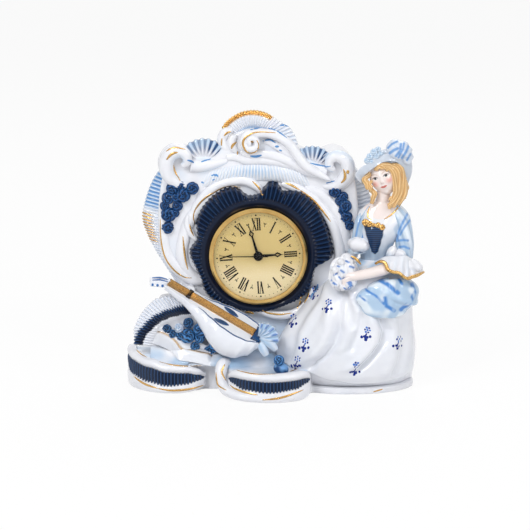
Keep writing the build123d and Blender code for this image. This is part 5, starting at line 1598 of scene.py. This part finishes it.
GOLD_LINES = [
    (
        [(195, 225), (193.5, 216), (197, 207), (204, 199), (213, 193), (222, 188), (231, 186), (241, 188)],
        0.55,
    ),
    ([(252, 181), (259, 188), (263, 196)], 0.5),
    ([(189.5, 224), (191, 230), (194, 236)], 0.5),
    ([(183, 236), (184, 248), (185.5, 260), (188, 270)], 0.55),
    ([(160.5, 219), (160.5, 232), (162, 246), (166, 259), (174, 270), (184, 277), (192, 278)], 0.5),
    ([(285, 183), (291, 185), (300, 190)], 0.6), ([(300, 190), (312, 199), (322, 210), (331, 222)], 0.6),
    (
        [
            (276, 133), (262, 132), (252, 133.5), (245, 138), (243, 144), (246, 150.5), (251.5, 153),
            (257, 150.5), (258.5, 144.5), (256.5, 140),
        ],
        0.6,
    ),
    ([(250.5, 142), (251.5, 141), (252.5, 142), (251.5, 143)], 0.6),
    ([(224, 136), (227, 133), (231, 131.5)], 0.6),
    ([(221.5, 146), (221.5, 142), (222, 138)], 0.4),
    ([(231.5, 149), (233, 145), (237, 142)], 0.7),
    ([(237.5, 155), (237.5, 151)], 0.4),
    ([(166, 151.5), (170, 149), (176, 147.5), (186, 149.5)], 0.55),
    ([(166.5, 160), (170, 155.5), (174, 153), (178, 152.5)], 0.7),
    ([(173.5, 165), (174, 169), (176, 174), (180, 181)], 0.75),
    ([(341, 183), (344.5, 179), (345, 174), (343.5, 169)], 0.8),
    ([(348, 170), (347.5, 174)], 0.8),
    ([(136, 349), (141, 354), (147, 357.5)], 0.5),
    ([(159, 361.5), (170, 364.5), (185, 366), (202, 365.5)], 0.55),
    ([(131, 373), (137, 379), (146, 384.5), (158, 388.5)], 0.6),
    ([(158, 388.5), (172, 390.5), (190, 389), (204, 385)], 0.6),
    ([(216, 372), (216.5, 379), (219, 386), (230, 392)], 0.55),
    ([(225, 364), (222, 372), (226, 381)], 0.55),
    ([(226, 381), (234, 388), (246, 392.5), (258, 395)], 0.55),
    ([(232, 368.5), (242, 371.5), (256, 374), (276, 374)], 0.5),
    ([(290, 371.5), (297, 369)], 0.5),
    ([(262, 400), (280, 398), (298, 392), (314, 385)], 0.6),
    ([(245, 312), (250, 312), (254, 314)], 0.8),
    ([(262, 310), (268, 313), (280, 314.5), (292, 313)], 0.5),
    ([(297, 309), (300, 303), (301, 296)], 0.55),
    ([(304, 303), (308, 296), (309, 291)], 0.6),
    ([(144, 303), (149, 302.5), (154, 300.5)], 0.4),
    ([(373, 392), (378, 390.5), (383, 389)], 0.4),
    ([(370, 206), (368, 212), (368, 217), (372, 220)], 0.45),
    ([(384, 219.5), (391, 215), (398, 208), (404, 199)], 0.45),
]
gold_forms = [brushed(spots, width, GOLD) for spots, width in GOLD_LINES]
cast("gold_lines", [form for form in gold_forms if form], finish=gilding)

BLUE_LINES = [
    ([(187, 160), (191, 161), (194, 163)], 0.6), ([(201, 162), (206, 160.5), (211, 158.5)], 0.6),
    ([(250, 156), (256, 156.5), (262, 155)], 0.7), ([(262, 141), (270, 140), (276, 143)], 0.5),
    ([(275, 146.5), (279, 146.5)], 0.6),
    ([(279, 150), (282, 151)], 0.5), ([(211, 175.5), (216, 175), (218, 177)], 0.6),
    ([(201, 182), (204, 183)], 0.5), ([(212, 180), (215, 179.5)], 0.4),
    ([(310, 163), (318, 165), (326, 166.5), (331, 166)], 0.5),
    ([(326, 183), (330, 182.5), (335, 181)], 0.6), ([(280, 125.5), (284, 125), (289, 127)], 0.7),
    ([(262, 128), (272, 129), (280, 133), (287, 138)], 0.6), ([(250, 130), (256, 128.5), (262, 128)], 0.6),
    ([(311, 299), (313, 294), (316, 289), (318, 284)], 0.9),
]
blue_forms = [brushed(spots, width, (0.13, 0.34, 0.66)) for spots, width in BLUE_LINES]


def dab(x, y, r, colour):
    """A dot of colour on the glaze."""
    found, normal, *_ = solid.ray_cast(eye, sight(x, y))
    if found is None:
        return None
    side = normal.orthogonal().normalized()
    other = normal.cross(side)

    def lay(u, v):
        a = 2 * pi * u
        place = found / MM + r * v * (cos(a) * side + sin(a) * other)
        return place + normal * (0.22 * (1 - v * v) - 0.03), colour

    return skin(3, 10, lay)


SPRIGS = [
    (327, 304, 0.6), (292, 319, 0.5), (304, 343, 0.4), (366, 332, -0.2), (398, 341, 0.1), (355, 367, 0.9),
    (296, 361, 1.4), (314, 291, 0.8),
]
DEEP, MID = (0.012, 0.035, 0.26), (0.07, 0.20, 0.62)
brush = random.Random(7)
for x, y, turn in SPRIGS:
    for k in range(7):
        a = turn + k * 2 * pi / 6
        reach = 0.0 if k == 6 else 2.5
        place = x + 1.5 + reach * cos(a), y - 2 - reach * sin(a)
        blue_forms.append(dab(*place, 0.75 + 0.25 * brush.random(), DEEP if k % 2 else MID))
    for dx, dy in ((-5, 5.5), (-2.5, 5), (0.5, 6), (3.5, 5.2), (-1, 8.5)):
        blue_forms.append(dab(x + dx + brush.random(), y + dy * 0.9, 0.95 + 0.4 * brush.random(), DEEP))
    blue_forms.append(brushed([(x + 1, y + 1), (x - 0.5, y + 4), (x - 1.5, y + 9)], 0.45, DEEP))
cast("blue_brushwork", [form for form in blue_forms if form], (), cobalt_glaze)

# Clock insert: a turned brass bezel with a domed glass over a gold-lacquered dial, black hands.
# These pieces keep their solids; the finishes give turned, lacquered and moulded surfaces, and the
# dial's lacquer is painted paler on its lower part as a painted reflection.
def dress(nodes, material):
    for node in nodes:
        mesh = frame["nodes"][node].data
        mesh.materials.clear()
        mesh.materials.append(material)


brass, spot = start("bezel_brass")
swirl = spot.speckle(1.2, 2.0, (1, 8, 1))
haze = spot.speckle(14.0, 3.0)
tone = haze.shades((0.3, (0.46, 0.28, 0.09)), (0.7, (0.66, 0.45, 0.17)))
spot.end(spot.surface(tone, 0.07 + swirl * 0.06 + haze * 0.06, swirl, 0.012, Metallic=1.0))
dress(["bezel", "rehaut_ring"], brass)

lacquer_and_painted_reflection, spot = start("dial_lacquer")
brushmark = spot.speckle(0.8, 3.0, (0.25, 1, 6))
# Painted reflection: the lacquer colour turns paler towards the lower part of the dial.
height = spot.add("ShaderNodeSeparateXYZ", {}, {"Vector": spot}, out="Z")
fade = (height - 0.0645) * 15.2 + (spot.speckle(40.0, 2.0) - 0.5) * 0.15
gold_and_painted_reflection = fade.shades((0.30, (0.688, 0.576, 0.344)), (0.48, (0.533, 0.404, 0.163)))
spot.end(spot.surface(gold_and_painted_reflection, 0.30 + brushmark * 0.16, brushmark, 0.01, Metallic=0.40))
dress(["dial_plate"], lacquer_and_painted_reflection)

enamel, spot = start("black_enamel")
dust = spot.speckle(0.6, 3.0)
tone = dust.shades((0.3, (0.002, 0.002, 0.002)), (0.8, (0.006, 0.006, 0.006)))
spot.end(spot.surface(tone, 0.40 + dust * 0.2, dust, 0.02, Specular_IOR_Level=0.15))
dress(["hour_hand", "minute_hand", "second_hand"], enamel)

clear, spot = start("lens_glass")
film = spot.speckle(20.0, 3.0)
spot.end(spot.surface((1, 1, 1, 1), 0.02 + film * 0.03, film, 0.004, Transmission_Weight=1.0, IOR=1.12))
dress(["lens"], clear)


def moulded(name, dark, light, rough, metal):
    """Moulded plastic or plated metal with a fine grain."""
    material, spot = start(name)
    fine = spot.speckle(0.5, 3.0)
    broad = spot.speckle(8.0, 2.0)
    tone = (broad * 0.5 + fine * 0.5).shades((0.35, dark), (0.65, light))
    spot.end(spot.surface(tone, rough + fine * 0.2, fine, 0.02, Metallic=metal))
    return material


for nodes, *finish in (
    (
        ["insert_cup", "rear_cover", "battery_hatch", "setting_knob", "train_bridge"], "black_plastic",
        (0.012, 0.012, 0.013), (0.03, 0.03, 0.032), 0.32, 0.0,
    ),
    (["retaining_ring"], "ring_rubber", (0.02, 0.02, 0.02), (0.05, 0.05, 0.05), 0.65, 0.0),
    (
        [
            "step_wheel", "seconds_wheel", "third_wheel", "centre_wheel", "minute_wheel", "hour_wheel",
            "coil_bobbin", "rotor",
        ],
        "gear_plastic", (0.55, 0.53, 0.47), (0.72, 0.70, 0.64), 0.35, 0.0,
    ),
    (
        ["cover_screws", "cell_contacts", "quartz_can", "stator"], "steel", (0.42, 0.42, 0.43),
        (0.60, 0.60, 0.61), 0.22, 1.0,
    ),
    (["button_cell"], "cell_steel", (0.50, 0.50, 0.51), (0.68, 0.68, 0.68), 0.18, 1.0),
    (["coil_winding"], "winding_copper", (0.48, 0.17, 0.07), (0.72, 0.32, 0.16), 0.28, 1.0),
    (["circuit_board"], "board_green", (0.01, 0.08, 0.03), (0.03, 0.16, 0.06), 0.4, 0.0),
):
    dress(nodes, moulded(*finish))

# Dial printing: narrow black Roman hours with serif strokes, small half-hour marks, minute dots
# with larger ones at the hours, laid on the lacquer. The dial sits turned a little to the left.
DIAL_ROLL = radians(3.5)
PRINT_LEVEL = 2.0
PRINT_T = 0.1
DOT_R = 29.7
dial_frame = Matrix.Translation(Vector((CLOCK_X, SEAT_Y, CLOCK_Z)) * MM)
dial_frame = dial_frame @ Matrix.Rotation(pi / 2, 4, "X") @ Matrix.Rotation(DIAL_ROLL, 4, "Z")
printing = bmesh.new()


def bar(x, y, length, width, turn, hour):
    """A printed stroke at x, y of an upright numeral that stands at the hour's place."""
    upright = dial_frame @ Matrix.Rotation(-hour * pi / 6, 4, "Z")
    place = upright @ Matrix.Translation(Vector((x, y, PRINT_LEVEL + 0.05)) * MM)
    ink = Matrix.Rotation(turn, 4, "Z") @ Matrix.Diagonal((width * MM, length * MM, PRINT_T * MM, 1))
    bmesh.ops.create_cube(printing, size=1.0, matrix=place @ ink)


NUMERALS = ["XII", "I", "II", "III", "IIII", "V", "VI", "VII", "VIII", "IX", "X", "XI"]
NUMERAL_R = 23.2
NUMERAL_H = 8.8
WIDE = {"I": 1.55, "V": 3.0, "X": 3.2}
THICK, THIN = 1.02, 0.40
HALF_HOUR = [
    (0, -0.5, 2.4, 0.42, 0), (0, 0.6, 0.5, 1.9, 0), (-0.6, 1.0, 1.0, 0.45, 0.6), (0.6, 1.0, 1.0, 0.45, -0.6),
]
for hour, word in enumerate(NUMERALS):
    x = -sum(WIDE[c] for c in word) / 2
    for c in word:
        middle = x + WIDE[c] / 2
        span = (WIDE[c] - 0.9) / 2
        if c == "I":
            bar(middle, NUMERAL_R, NUMERAL_H, THICK, 0, hour)
            serifs = [(middle, 1), (middle, -1)]
        elif c == "V":
            lean = atan2(span, NUMERAL_H)
            bar(middle - span / 2, NUMERAL_R, NUMERAL_H, THICK, lean, hour)
            bar(middle + span / 2, NUMERAL_R, NUMERAL_H, THIN, -lean, hour)
            serifs = [(middle - span, 1), (middle + span, 1)]
        else:
            lean = atan2(2 * span, NUMERAL_H)
            bar(middle, NUMERAL_R, NUMERAL_H * 1.02, THICK, lean, hour)
            bar(middle, NUMERAL_R, NUMERAL_H * 1.02, THIN, -lean, hour)
            serifs = [(middle + side * span, end) for side in (-1, 1) for end in (-1, 1)]
        for place_x, end in serifs:
            bar(place_x, NUMERAL_R + end * NUMERAL_H / 2, 0.34, 1.5, 0, hour)
        x += WIDE[c]
    for across, up, length, width, turn in HALF_HOUR:
        bar(across, NUMERAL_R + up, length, width, turn, hour + 0.5)
for minute in range(60):
    r = 0.62 if minute % 5 == 0 else 0.28
    a = pi / 2 - minute * pi / 30
    dot = dial_frame @ Matrix.Translation(Vector((DOT_R * cos(a), DOT_R * sin(a), PRINT_LEVEL + 0.04)) * MM)
    bmesh.ops.create_cone(
        printing, cap_ends=True, segments=14, radius1=r * MM, radius2=r * 0.9 * MM,
        depth=PRINT_T * MM, matrix=dot,
    )
dial_printing = placed("dial_printing", printing, enamel)
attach(dial_printing, "insert")
